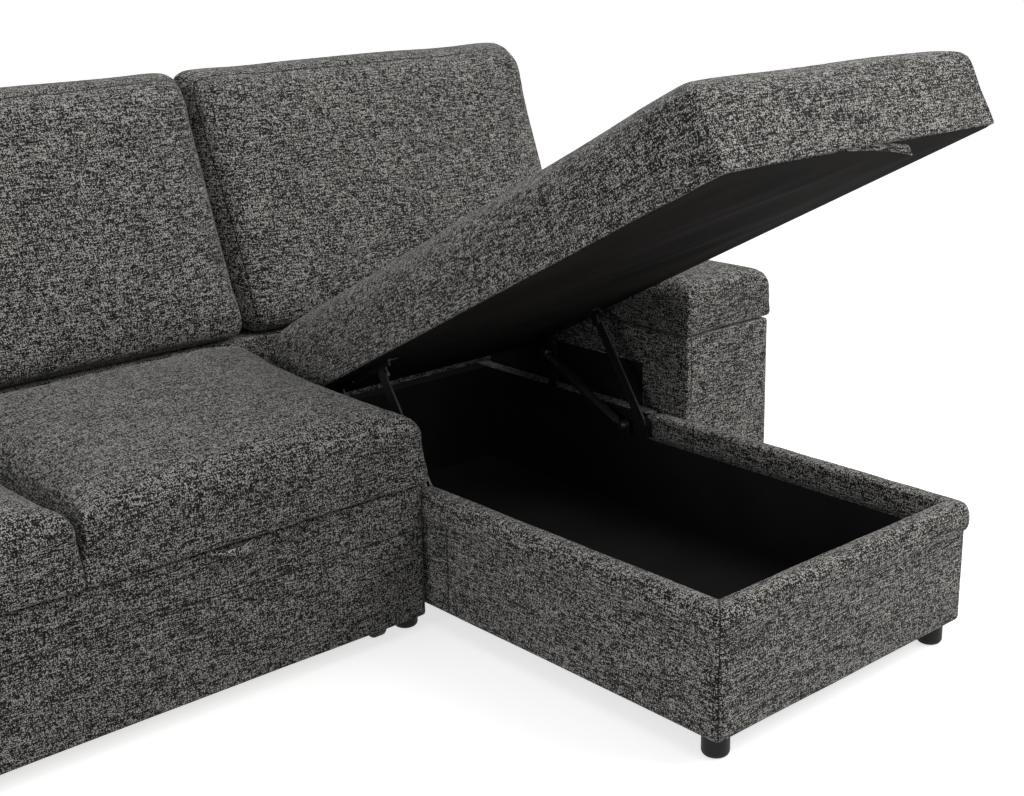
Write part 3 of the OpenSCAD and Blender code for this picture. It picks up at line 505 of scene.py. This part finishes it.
side_steps = [roll_end_y + (roll_inner_y - roll_end_y) * i / 24 for i in range(24)]
front_steps = [roll_inner_x[0] + (roll_inner_x[1] - roll_inner_x[0]) * i / 20 for i in range(1, 20)]
turns = [pi / 2 * i / 10 for i in range(11)]
rim_rings = [roll_ring(Vector((roll_inner_x[0], y, 0)), Vector((-1, 0, 0))) for y in side_steps]
rim_rings += [roll_ring(Vector((roll_inner_x[0], roll_inner_y, 0)), corner_way(-1, turn)) for turn in turns]
rim_rings += [roll_ring(Vector((x, roll_inner_y, 0)), Vector((0, -1, 0))) for x in front_steps]
rim_rings += [roll_ring(Vector((roll_inner_x[1], roll_inner_y, 0)), corner_way(1, turn)) for turn in turns[::-1]]
rim_rings += [roll_ring(Vector((roll_inner_x[1], y, 0)), Vector((1, 0, 0))) for y in side_steps[::-1]]
rim_roll = strip("rim_roll", rim_rings)
apply_modifier(rim_roll, "SUBSURF", levels=2, render_levels=2)
roughen(rim_roll, 0.002, 0.09)
for vertex in rim_roll.data.vertices:
    vertex.co.z = min(vertex.co.z, roll_high.z)
smooth(rim_roll, 60)
dress(rim_roll, tweed("Tweed on the rim", seams=corner_seams))
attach(rim_roll, "sofa")
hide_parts("rim_roll_front", "rim_roll_left", "rim_roll_right")


# Box lining and bottom.
# Thin black non-woven cloth is glued over the inside of the box and over its bottom board.
# The same cloth covers the deck under the seats and closes the arms and the back below.
def make_lint():
    """Group: the mottled, slightly fluffy surface of non-woven cloth or of dust on a dark part."""
    group, given, out = new_group("Fine lint", [("Place", "Vector", None), ("Scale", "Float", 300.0),
                                                ("Dark", "Color", None), ("Light", "Color", None)],
                                  [("Color", "Color"), ("Height", "Float")])
    fibre = noise_value(group, given["Place"], given["Scale"], 4.0)
    cloud = noise_value(group, given["Place"], 6.0, 3.0)
    amount = step_up(group, math(group, "MULTIPLY_ADD", cloud, 0.5, math(group, "MULTIPLY", fibre, 0.6)), 0.35, 0.85)
    group.links.new(blend_color(group, amount, given["Dark"], given["Light"]), out["Color"])
    group.links.new(fibre, out["Height"])
    return group


lint = make_lint()


def plain_surface(name, dark, light, scale, roughness, bump_height, specular=0.5, metallic=0.0):
    """A dark or plain surface with fine lint, used for the cloth linings, the steel and the plastic."""
    material, tree, surface = new_material(name)
    place = tree.nodes.new("ShaderNodeTexCoord").outputs["Object"]
    fluff = node(tree, "ShaderNodeGroup", {"Place": place, "Scale": scale, "Dark": dark, "Light": light},
                 node_tree=lint).outputs
    finish(tree, surface, fluff["Color"], fluff["Height"], 0.5, bump_height)
    roughness_spread = 0.18
    uneven = math(tree, "MULTIPLY_ADD", fluff["Height"], roughness_spread, roughness - roughness_spread / 2)
    tree.links.new(uneven, surface.inputs["Roughness"])
    surface.inputs["Specular IOR Level"].default_value = specular
    surface.inputs["Metallic"].default_value = metallic
    return material


nodes = frame["nodes"]
lining_cloth = plain_surface("Black lining cloth", (0.006, 0.006, 0.0061, 1), (0.016, 0.0157, 0.0155, 1),
                             scale=900.0, roughness=0.9, bump_height=0.0003, specular=0.15)
for name in ("chaise_lining", "chaise_bottom", "chaise_rear_panel", "right_arm_lining", "bottom_boards", "seat_deck"):
    dress(nodes[name], lining_cloth)


# Feet.
# Round feet of black moulded plastic are screwed under the box, the seat base, the arms and the back.
# They are turned smooth, and their lower edge is rounded.
foot_plastic = plain_surface("Black moulded plastic", (0.004, 0.004, 0.004, 1), (0.010, 0.010, 0.0095, 1),
                             scale=420.0, roughness=0.5, bump_height=0.0001, specular=0.22)
for name in ("chaise_legs", "base_legs"):
    dress(nodes[name], foot_plastic)


# Lift mechanism.
# Pressed steel plates, links, pins and sleeved springs on both walls of the box, painted satin black.
# The paint is thin and catches a little light on its edges.
black_steel = plain_surface("Black painted steel", (0.006, 0.006, 0.0065, 1), (0.020, 0.020, 0.021, 1),
                            scale=180.0, roughness=0.38, bump_height=0.00012)
for name in ("lift_base_plates", "lift_plate_screws", "base_pivot_pins", "spring_brackets", "rear_links",
             "spring_posts", "front_links", "front_link_studs", "spring_sleeves", "lid_hinge_plates",
             "lid_pivot_pins", "joining_plates", "bed_side_rails", "bed_rear_rail", "bed_guides", "roller_forks"):
    dress(nodes[name], black_steel)

bright_steel = plain_surface("Bright zinc steel", (0.22, 0.22, 0.225, 1), (0.42, 0.42, 0.43, 1),
                             scale=260.0, roughness=0.36, bump_height=0.00008, metallic=1.0)
for name in ("spring_rods", "roller_axles"):
    dress(nodes[name], bright_steel)


# Lift-up seat.
# A long cushion on a wooden frame, covered in tweed, closed below with black cambric and lifted by the linkage.
# It is shaped here as it lies when closed, blown up a little as cloth, and then turned to its lifted place.
joints = {joint["name"]: joint for joint in frame["joints"]}
seat_pin = Vector(joints["seat_on_rear_links"]["pos_m"])
wall_pin = Vector(joints["seat_lift"]["pos_m"])
link_length = (seat_pin - wall_pin).length
closed_pin = wall_pin + Vector((0, link_length, 0))
seat_tilt = radians(joints["seat_on_rear_links"]["range_deg"][1] + joints["seat_lift"]["range_deg"][0])
lifting = Matrix.Translation(seat_pin) @ Matrix.Rotation(-seat_tilt, 4, "X") @ Matrix.Translation(-closed_pin)


stuffing_pressure, stuffing_frames = 0.8, 20


def closed_box(name):
    """A node of the lifted seat, as a box in its closed place."""
    back = lifting.inverted()
    points = [back @ vertex.co for vertex in nodes[name].data.vertices]
    return (Vector([min(point[i] for point in points) for i in range(3)]),
            Vector([max(point[i] for point in points) for i in range(3)]))


def rise_from(z, foot_z, foot):
    """0 at a cushion's foot and 1 above it, with a smooth rise between them."""
    share = min(1.0, max(0.0, (z - foot_z) / max(foot, 1e-6)))
    return share * share * (3 - 2 * share)


def stuffed(piece, voxel, most, foot, smoothing=2):
    """Remeshes a cushion evenly and blows its cover up. No point moves more than it may, and its foot stays flat."""
    apply_modifier(piece, "REMESH", mode="VOXEL", voxel_size=voxel)
    apply_modifier(piece, "SMOOTH", factor=0.5, iterations=smoothing)
    before = [vertex.co.copy() for vertex in piece.data.vertices]
    only(piece)
    cloth = piece.modifiers.new("Cover", "CLOTH")
    cloth.settings.quality = 4
    cloth.settings.mass = 0.4
    cloth.settings.tension_stiffness = 18
    cloth.settings.compression_stiffness = 18
    cloth.settings.bending_stiffness = 2.0
    cloth.settings.use_pressure = True
    cloth.settings.uniform_pressure_force = stuffing_pressure
    cloth.settings.effector_weights.gravity = 0
    cloth.collision_settings.use_collision = False
    cloth.point_cache.frame_end = stuffing_frames + 1
    scene = bpy.context.scene
    for step in range(1, stuffing_frames + 1):
        scene.frame_set(step)
    shaped = piece.evaluated_get(bpy.context.evaluated_depsgraph_get())
    moved = [vertex.co.copy() for vertex in shaped.to_mesh().vertices]
    shaped.to_mesh_clear()
    piece.modifiers.remove(cloth)
    scene.frame_set(1)
    foot_z = min(point.z for point in before)
    for vertex, start, end in zip(piece.data.vertices, before, moved):
        way = end - start
        far = max(way.length, 1e-9)
        share = rise_from(start.z, foot_z, foot) if foot else 1.0
        vertex.co = start + way * (share * most * tanh(far / most) / far)
    return piece


def fit_out(piece, low, high, axes, corner, bands=1):
    """Draws a cushion out to its full size, band by band up its height, and fills its corners."""
    mesh = piece.data
    foot_z = min(vertex.co.z for vertex in mesh.vertices)
    height = max(vertex.co.z for vertex in mesh.vertices) - foot_z
    groups = [[] for _ in range(bands)]
    for vertex in mesh.vertices:
        groups[min(bands - 1, int((vertex.co.z - foot_z) / height * bands))].append(vertex.co)
    sizes = [[(min(co[i] for co in group), max(co[i] for co in group)) for i in range(3)] for group in groups]
    sizes = sizes[:max(1, bands * 2 // 3)]
    for vertex in mesh.vertices:
        place = min(max((vertex.co.z - foot_z) / height * bands - 0.5, 0), len(sizes) - 1.001) if len(sizes) > 1 else 0
        below, above = sizes[int(place)], sizes[min(int(place) + 1, len(sizes) - 1)]
        share = place - int(place)
        reach = []
        for i in range(3):
            start, end = (below[i][k] * (1 - share) + above[i][k] * share for k in (0, 1))
            reach.append((vertex.co[i] - (start + end) / 2) / ((end - start) / 2))
        for i in axes:
            others = min(1.0, max(abs(reach[k]) for k in axes if k != i))
            half = (high[i] - low[i]) / 2
            out = reach[i] * half + corner * reach[i] * abs(reach[i]) ** 3 * others ** 6
            vertex.co[i] = (low[i] + high[i]) / 2 + max(-half, min(half, out))


def refine(piece, unevenness, scale):
    """The last steps on a cushion: a finer mesh, soft unevenness and smooth shading."""
    apply_modifier(piece, "SMOOTH", factor=0.5, iterations=2)
    apply_modifier(piece, "SUBSURF", levels=1, render_levels=1)
    roughen(piece, unevenness, scale)
    smooth(piece, 80)


lift_low, lift_high = closed_box("lid_cushion")
lift_inset = 0.006
lift_crown = 0.012
lift_corner_drop = 0.018
lift_top_radius = 0.030
lift_corner_radius = 0.014
lift_foot = 0.010
lift_rise = 0.045
lift_rear_cut = (0.078, 0.096)
lift_margin = Vector((0.001, 0.001, 0))
lift_seat = new_box("lift_seat_cushion", lift_low + lift_margin,
                    lift_high - lift_margin - Vector((0, 0, lift_inset + lift_crown)))
edit_all()
slope = Vector((0, lift_rear_cut[1], lift_rear_cut[0])).normalized()
bpy.ops.mesh.bisect(plane_co=(0, lift_high.y - lift_rear_cut[0], lift_high.z), plane_no=slope,
                    clear_outer=True, use_fill=True)
pick_edges(lift_seat, lambda at, way: abs(way.z) > 0.9 and at.y < lift_low.y + 0.02)
bpy.ops.mesh.bevel(offset=lift_corner_radius, segments=3)
pick_edges(lift_seat, lambda at, way: abs(way.z) < 0.1 and at.z > lift_high.z - 0.03)
bpy.ops.mesh.bevel(offset=lift_top_radius, segments=5)
cut_in_slices(0.03)
bpy.ops.object.mode_set(mode="OBJECT")
lift_middle = (lift_low + lift_high) / 2
lift_half = (lift_high - lift_low) / 2
for vertex in lift_seat.data.vertices:
    for axis in (0, 1):
        reach = (vertex.co[axis] - lift_middle[axis]) / lift_half[axis]
        vertex.co[axis] -= lift_inset * reach * rise_from(vertex.co.z, lift_low.z, lift_rise)
stuffed(lift_seat, 0.0095, 0.010, foot=lift_rise)
fit_out(lift_seat, lift_low + lift_margin, lift_high - lift_margin, (0, 1), 0.026, bands=12)
for vertex in lift_seat.data.vertices:
    if vertex.co.z < lift_low.z + lift_foot:
        for axis in (0, 1):
            reach = vertex.co[axis] - lift_middle[axis]
            if abs(reach) > lift_half[axis] - lift_foot and not (axis == 1 and reach > 0):
                vertex.co[axis] = lift_middle[axis] + (lift_half[axis] - 0.001) * (1 if reach > 0 else -1)
    across = min(1.0, abs(vertex.co.x - lift_middle.x) / lift_half.x)
    along = min(1.0, abs(vertex.co.y - lift_middle.y) / lift_half.y)
    share = max(0.0, (vertex.co.z - lift_low.z) / (lift_half.z * 2))
    rise = lift_crown * (1 - across ** 3) * (1 - along ** 6) - lift_corner_drop * across ** 5 * along ** 14
    vertex.co.z = max(vertex.co.z + rise * share ** 2, lift_low.z)
refine(lift_seat, 0.0035, 0.28)
for vertex in lift_seat.data.vertices:
    vertex.co.z = max(vertex.co.z, lift_low.z + 0.0002)
lift_seat.data.transform(lifting)
dress(lift_seat, tweed("Tweed on the lifted seat", tilt=seat_tilt))
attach(lift_seat, "lift_seat")
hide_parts("lid_cushion")


# Black cambric under the seat.
# A thin cloth is stapled along the frame's edge, and it has faint slanting wrinkles where it was pulled tight.
cover_low, cover_high = closed_box("lid_dust_cover")
cover_edge_gap = 0.004
cover_corner = 0.016
cover_low = Vector((lift_low.x + cover_edge_gap, lift_low.y + cover_edge_gap, cover_low.z))
cover_high = Vector((lift_high.x - cover_edge_gap, lift_high.y - cover_edge_gap, cover_high.z))
bpy.ops.object.select_all(action="DESELECT")
bpy.ops.mesh.primitive_grid_add(x_subdivisions=60, y_subdivisions=120, size=1,
                                location=(cover_low + cover_high) / 2)
cambric = bpy.context.object
cambric.name = "seat_cambric"
cambric.scale = (cover_high.x - cover_low.x, cover_high.y - cover_low.y, 1)
bpy.ops.object.transform_apply(location=True, rotation=True, scale=True)
cambric_thickness, cambric_sag, cambric_wrinkle = 0.0004, 0.004, 0.004
cambric_margin = 0.055
cover_middle, cover_half = (cover_low + cover_high) / 2, (cover_high - cover_low) / 2
for vertex in cambric.data.vertices:
    past = [max(0.0, abs(vertex.co[i] - cover_middle[i]) - cover_half[i] + cover_corner) for i in (0, 1)]
    if past[0] > 0 and past[1] > 0:
        pull_in = max(past) / (past[0] ** 2 + past[1] ** 2) ** 0.5
        for i in (0, 1):
            side = 1 if vertex.co[i] > cover_middle[i] else -1
            vertex.co[i] = cover_middle[i] + side * (cover_half[i] - cover_corner + past[i] * pull_in)
    x, y = vertex.co.x, vertex.co.y
    inward = min(x - cover_low.x, cover_high.x - x, y - cover_low.y, cover_high.y - y)
    share = max(0.0, min(1.0, (inward - cambric_margin) / 0.10))
    ridge = 1 - 2 * abs(noise.noise(Vector(((x + y * 0.9) * 7.0, (x - y) * 1.1, 1.0))))
    vertex.co.z = lift_low.z - cambric_thickness - share * (cambric_sag + cambric_wrinkle * ridge)
apply_modifier(cambric, "SOLIDIFY", thickness=cambric_thickness, offset=1)
cambric.data.transform(lifting)
smooth(cambric, 80)
cambric_cloth = plain_surface("Black cambric", (0.0075, 0.0068, 0.0065, 1), (0.019, 0.0172, 0.0162, 1),
                              scale=1200.0, roughness=0.85, bump_height=0.0002, specular=0.03)
dress(cambric, cambric_cloth)
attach(cambric, "lift_seat")
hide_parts("lid_dust_cover")


# Fabric pulls.
# A doubled strip of tweed is sewn under the seat's front edge, and a like one under the middle seat on the bed's front.
# Each is folded over on itself, so it has a soft rounded lower edge.
def folded_pull(name, left, right, width, thickness, bow, hang_shares, fall=0.0):
    """A doubled strap that bows out forwards, hangs down by shares of its width and falls away at its right end."""
    length_cuts, section_cuts = 28, 16
    rings = []
    for i in range(length_cuts + 1):
        share = i / length_cuts
        place = left.lerp(right, share) + Vector((0, -bow * sin(pi * share) ** 1.5, -fall * share ** 3))
        drop = width * (hang_shares[0] + (hang_shares[1] - hang_shares[0]) * share)
        ring = []
        for k in range(section_cuts):
            turn = 2 * pi * k / section_cuts
            up, out = sin(turn), cos(turn)
            swell = 0.75 + 0.25 * abs(up) ** 3
            ring.append(place + Vector((0, thickness / 2 * out * swell, (up - 1) / 2 * drop)))
        rings.append(ring)
    pull = strip(name, rings)
    apply_modifier(pull, "SUBSURF", levels=1, render_levels=1)
    smooth(pull, 60)
    return pull


loop_low, loop_high = closed_box("lid_pull_loop")
loop_middle_y = (loop_low.y + loop_high.y) / 2
loop_z = loop_high.z + 0.002
seat_pull = folded_pull("seat_pull", Vector((loop_low.x, loop_middle_y, loop_z)),
                        Vector((loop_high.x, loop_middle_y, loop_z)), loop_high.z - loop_low.z,
                        loop_high.y - loop_low.y, 0.003, (0.1, 0.8), fall=0.009)
seat_pull.data.transform(lifting)
# Painted shade: the pull's yarns are darkened, as it faces down, away from the lamps.
dress(seat_pull, tweed("Tweed on the seat pull", tilt=seat_tilt, painted_light_scale=0.7))
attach(seat_pull, "lift_seat")
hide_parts("lid_pull_loop")

tab_low, tab_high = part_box("bed_pull_tab")
tab_strap, tab_bow = 0.003, 0.018
tab_lift, tab_clearance = 0.008, 0.007
tab_hang = (0.5, 1.5)
tab_width = tab_high.z - tab_low.z
tab_y = tab_high.y - tab_strap / 2 - tab_clearance
tab_z = tab_high.z + tab_lift
bed_pull = folded_pull("bed_pull", Vector((tab_low.x, tab_y, tab_z)), Vector((tab_high.x, tab_y, tab_z)),
                       tab_width, tab_strap, tab_bow, tab_hang)
tab_slope = (tab_hang[1] - tab_hang[0]) * tab_width / (tab_high.x - tab_low.x)
tab_hem = Vector((tab_slope, 0, 1)).normalized()
tab_corner = Vector((tab_low.x, 0, tab_z - tab_hang[0] * tab_width))
# Painted shadow: two lines of painted shade along the tab's lower edge stand for the shadow under it, and the tab's
# yarns are lightened 1.4 times as painted light.
hem_shadow_lines = [(tuple(tab_hem), tab_corner.dot(tab_hem) + rise) for rise in (0.001, 0.004)]
dress(bed_pull, tweed("Tweed on the bed pull", seams=hem_shadow_lines, painted_light_scale=1.4))
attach(bed_pull, "bed")
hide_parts("bed_pull_tab")


# Seat cushions.
# Two thick foam cushions in tweed covers lie on the deck, with crowned tops and soft front edges.
# Their rear ends are tucked under the backrest.
def cushion_from(node_name, name, voxel, most, inset, foot=0.0, smoothing=2):
    """Takes a cushion's solid, merges its triangles, draws it in above its foot and blows it up."""
    piece = new_piece(name, nodes[node_name].data.copy())
    only(piece)
    edit_all()
    bpy.ops.mesh.remove_doubles(threshold=0.00002)
    bpy.ops.object.mode_set(mode="OBJECT")
    full = [vertex.co.copy() for vertex in piece.data.vertices]
    bpy.ops.object.mode_set(mode="EDIT")
    bpy.ops.transform.shrink_fatten(value=-inset)
    bpy.ops.object.mode_set(mode="OBJECT")
    foot_z = min(point.z for point in full)
    for vertex, start in zip(piece.data.vertices, full):
        share = rise_from(start.z, foot_z, foot) if foot else 1.0
        vertex.co = start.lerp(vertex.co, share)
    return stuffed(piece, voxel, most, foot, smoothing=smoothing)


deck_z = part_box("seat_deck")[1].z
seat_low, seat_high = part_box("seat_cushion_middle")
plump_seat = cushion_from("seat_cushion_middle", "seat_pad_middle", 0.009, 0.009, inset=0.008, foot=0.045)
fit_out(plump_seat, seat_low, seat_high, (0, 1), 0.020, bands=10)
other_seat = new_piece("seat_pad_left", plump_seat.data.copy())
other_seat.data.transform(Matrix.Translation((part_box("seat_cushion_left")[0].x - seat_low.x, 0, 0)))
for side, seat in (("middle", plump_seat), ("left", other_seat)):
    refine(seat, 0.005, 0.24)
    for vertex in seat.data.vertices:
        vertex.co.z = max(vertex.co.z, deck_z + 0.0003)
    # Painted shade: the seats' yarns are darkened a little, as this side of the sofa lies more in shade.
    dress(seat, tweed("Tweed on the " + side + " seat", painted_light_scale=0.88))
    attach(seat, "sofa")
    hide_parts("seat_cushion_" + side)


# Backrest cushions.
# Three cushions lean back on the frame, each a flat front panel sewn to a deep border.
# The middle one ends over the chaise, and the outer ones reach out over the arms.
lean = radians(21.4)
border_depth = 0.052
back_facing = Vector((0, -cos(lean), sin(lean)))
for side in ("right", "middle", "left"):
    back = cushion_from("back_cushion_" + side, "back_pad_" + side, 0.010, 0.006, inset=0.005, smoothing=1)
    fit_out(back, *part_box("back_cushion_" + side), (0, 2), 0.016)
    refine(back, 0.0045, 0.3)
    front_reach = max(vertex.co.dot(back_facing) for vertex in back.data.vertices)
    # The border seam's groove gets painted shade.
    dress(back, tweed("Tweed on the " + side + " backrest", seams=[(tuple(back_facing), front_reach - border_depth)]))
    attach(back, "sofa")
    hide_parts("back_cushion_" + side)


# Backrest base and frame.
# Hollow plywood carcasses wrapped in wadding and tweed, with a thin panel over their rear.
# They carry the backrest cushions, the arms and the seat base.
base_low, base_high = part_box("back_base")
back_carcass = wrapped_board("back_carcass", base_low, base_high, radius=0.010, step=0.09)
dress(back_carcass, tweed("Tweed on the back base"))
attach(back_carcass, "sofa")
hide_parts("back_base")
for name in ("backrest_frame", "backrest_rear_cover"):
    dress(nodes[name], tweed("Tweed on " + name))


# Arms.
# Each arm is a hollow box in tweed with a thick padded cap, and an open pocket is sewn to its outer face.
# The cap hangs a little over the pocket, and a seam runs down beside the arm's front corner.
cap_overhang = 0.010
pocket_panel, pocket_web, facing_groove = 0.016, 0.012, 0.003
arm_board_step, arm_board_unevenness = 0.05, 0.0015


def board_across(start_x, end_x, low_y, high_y, low_z, high_z, name, radius):
    """A wrapped board between two places across the sofa, given in either order."""
    low_x, high_x = sorted((start_x, end_x))
    return wrapped_board(name, Vector((low_x, low_y, low_z)), Vector((high_x, high_y, high_z)),
                         radius, arm_board_step, arm_board_unevenness)


for side, outward in (("right", 1), ("left", -1)):
    arm_low, arm_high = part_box(side + "_arm_frame")
    arm = wrapped_board(side + "_arm", arm_low, arm_high - Vector((0, 0.002, 0.002)), radius=0.014, step=arm_board_step)
    inner_x = arm_low.x if outward > 0 else arm_high.x
    pocket_low, pocket_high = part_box(side + "_arm_pocket")
    outer_x = pocket_high.x if outward > 0 else pocket_low.x
    arm_face_x = arm_high.x if outward > 0 else arm_low.x
    facing = board_across(inner_x, outer_x - outward * (pocket_panel + facing_groove), arm_low.y,
                          pocket_low.y - 0.001, arm_low.z, arm_high.z - 0.002, "facing", 0.006)
    arm = join(side + "_arm", arm, facing)
    # The seam down the arm gets painted shade in its groove.
    arm_seams = [((outward, 0.0, 0.0), (inner_x + outward * 0.012) * outward)]
    dress(arm, tweed("Tweed on the " + side + " arm", seams=arm_seams))
    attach(arm, "sofa")
    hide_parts(side + "_arm_frame")

    cap = cushion_from(side + "_arm_cap", side + "_arm_pad", 0.008, 0.006, inset=0.005, foot=0.03, smoothing=1)
    fit_out(cap, *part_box(side + "_arm_cap"), (0, 1), 0.008, bands=6)
    for vertex in cap.data.vertices:
        reach = (vertex.co.x - inner_x) * outward / (arm_high.x - arm_low.x)
        vertex.co.x += outward * cap_overhang * max(0.0, reach)
        vertex.co.z = max(vertex.co.z, arm_high.z + 0.0003)
    refine(cap, 0.003, 0.2)
    # Painted shade: the caps' yarns are darkened a little.
    dress(cap, tweed("Tweed on the " + side + " arm cap", painted_light_scale=0.87))
    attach(cap, "sofa")
    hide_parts(side + "_arm_cap")

    pocket = board_across(outer_x - outward * pocket_panel, outer_x, pocket_low.y, pocket_high.y,
                          pocket_low.z, pocket_high.z, side + "_pocket", 0.0065)
    web_x = outer_x - outward * (pocket_panel - 0.002)
    web_top = pocket_high.z - 0.004
    for low_y, high_y, high_z in ((pocket_low.y + 0.002, pocket_low.y + pocket_web, web_top),
                                  (pocket_high.y - pocket_web, pocket_high.y - 0.002, web_top),
                                  (pocket_low.y + 0.004, pocket_high.y - 0.004, pocket_low.z + pocket_web)):
        web = board_across(arm_face_x + outward * 0.0005, web_x, low_y, high_y,
                           pocket_low.z + 0.002, high_z, "web", 0.003)
        pocket = join(side + "_pocket", pocket, web)
    dress(pocket, tweed("Tweed on the " + side + " pocket"))
    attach(pocket, "sofa")
    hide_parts(side + "_arm_pocket")


# Seat base.
# Pine sides and a front beam carry the deck, and the pull-out bed runs between them.
# The wood is raw and can be seen only when the bed is out.
def make_grain():
    """Group: long wavy grain of sawn softwood along one direction."""
    group, given, out = new_group("Wood grain", [("Place", "Vector", None), ("Dark", "Color", None),
                                                 ("Light", "Color", None)], [("Color", "Color"), ("Height", "Float")])
    grain_stretch = (1.2, 1.2, 26.0)
    stretched = node(group, "ShaderNodeVectorMath", {0: given["Place"], 1: grain_stretch},
                     operation="MULTIPLY").outputs[0]
    rings = noise_value(group, stretched, 3.0, 5.0)
    wave = math(group, "SINE", math(group, "MULTIPLY", rings, 60.0))
    amount = math(group, "MULTIPLY_ADD", wave, 0.25, math(group, "MULTIPLY", rings, 0.9))
    group.links.new(blend_color(group, amount, given["Dark"], given["Light"]), out["Color"])
    group.links.new(wave, out["Height"])
    return group


grain = make_grain()
pine, pine_tree, pine_board = new_material("Sawn pine")
pine_place = pine_tree.nodes.new("ShaderNodeTexCoord").outputs["Object"]
pine_grain = node(pine_tree, "ShaderNodeGroup", {"Place": pine_place, "Dark": (0.30, 0.17, 0.07, 1),
                                                 "Light": (0.62, 0.43, 0.23, 1)}, node_tree=grain).outputs
finish(pine_tree, pine_board, pine_grain["Color"], pine_grain["Height"], 0.3, 0.0003)
pine_board.inputs["Roughness"].default_value = 0.7
for name in ("seat_base_sides", "seat_front_beam", "bed_slats", "lid_frame"):
    dress(nodes[name], pine)


# Pull-out bed.
# An upholstered front board, a steel frame with slats, a foam mattress in woven ticking, and four rollers.
# A seam runs along the front board a little below its top.
front_board_low, front_board_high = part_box("bed_front_board")
bed_front = wrapped_board("bed_front", front_board_low, front_board_high, radius=0.0075, step=0.05)
board_seam_z = 0.205
# Painted shade: the board's yarns are darkened, as it lies low under the seat in shade, and its seam's groove gets
# painted shade.
dress(bed_front, tweed("Tweed on the bed front", seams=[((0, 0, 1), board_seam_z)], painted_light_scale=0.9))
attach(bed_front, "bed")
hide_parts("bed_front_board")

mattress = cushion_from("bed_mattress", "bed_mattress_pad", 0.012, 0.005, inset=0.005, foot=0.04)
refine(mattress, 0.003, 0.2)
ticking, ticking_tree, ticking_cloth = new_material("Mattress ticking")
ticking_yarn = 0.0011
ticking_shades = ((0.46, 0.44, 0.40, 1), (0.60, 0.58, 0.54, 1), (0.72, 0.70, 0.66, 1))
ticking_yarns = lay_weave(ticking_tree, ticking_yarn, ticking_shades)[2].outputs
finish(ticking_tree, ticking_cloth, ticking_yarns["Color"], ticking_yarns["Height"], 0.4, 0.0004)
ticking_cloth.inputs["Roughness"].default_value = 0.85
dress(mattress, ticking)
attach(mattress, "bed")
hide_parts("bed_mattress")

for name in ("front_rollers", "rear_rollers"):
    dress(nodes[name], foot_plastic)


# Floor and light.
# A plain white floor, a soft even sky and three large lamps, the strongest at the right front, as in a studio.
bpy.ops.object.select_all(action="DESELECT")
bpy.ops.mesh.primitive_plane_add(size=160, location=(0, 0, 0))
floor = bpy.context.object
floor.name = "floor"
floor_paint, floor_tree, floor_surface = new_material("White floor")
floor_surface.inputs["Base Color"].default_value = (0.66, 0.66, 0.66, 1)
floor_surface.inputs["Roughness"].default_value = 0.9
floor_surface.inputs["Specular IOR Level"].default_value = 0.1
floor_glow = 0.7


def seen_straight(tree):
    """1 where a camera, a mirror or glass sees a surface, and 0 where the surface only gives light."""
    seen = node(tree, "ShaderNodeLightPath").outputs
    return math(tree, "MAXIMUM", seen["Is Camera Ray"],
                math(tree, "MAXIMUM", seen["Is Glossy Ray"], seen["Is Transmission Ray"]))


glow_strength = math(floor_tree, "MULTIPLY", seen_straight(floor_tree), floor_glow)
glow = node(floor_tree, "ShaderNodeEmission", {"Strength": glow_strength})
both = node(floor_tree, "ShaderNodeAddShader", {0: floor_surface.outputs[0], 1: glow.outputs[0]})
floor_tree.links.new(both.outputs[0], floor_tree.nodes["Material Output"].inputs["Surface"])
dress(floor, floor_paint)

world = bpy.data.worlds.new("Studio")
world.use_nodes = True
bpy.context.scene.world = world
sky_tree = world.node_tree
sky = sky_tree.nodes["Background"]
sky.inputs["Color"].default_value = (1, 1, 1, 1)
sky_even, sky_slope = 0.45, 0.20
sky_side = node(sky_tree, "ShaderNodeSeparateXYZ", {0: sky_tree.nodes.new("ShaderNodeTexCoord").outputs["Generated"]})
sky_level = math(sky_tree, "MULTIPLY_ADD", sky_side.outputs["X"], sky_slope, sky_even)
sky_tree.links.new(blend_value(sky_tree, seen_straight(sky_tree), sky_level, 1.0), sky.inputs["Strength"])


def soft_lamp(name, place, aim, size, power, color=(1, 1, 1)):
    """A large square lamp that looks at a point."""
    bpy.ops.object.light_add(type="AREA", location=place)
    lamp = bpy.context.object
    lamp.name = name
    lamp.data.size = size
    lamp.data.energy = power
    lamp.data.color = color
    lamp.rotation_euler = (Vector(aim) - Vector(place)).to_track_quat("-Z", "Y").to_euler()


soft_lamp("key_lamp", (2.2, -2.4, 2.4), (0.5, -0.2, 0.4), 1.8, 58, (1, 0.975, 0.945))
soft_lamp("top_lamp", (0.2, -0.6, 4.4), (0.2, 0, 0), 3.0, 26)
soft_lamp("left_lamp", (-3.4, -0.35, 1.2), (0.3, -0.5, 0.3), 1.6, 36)

bpy.context.scene.view_settings.view_transform = "Standard"
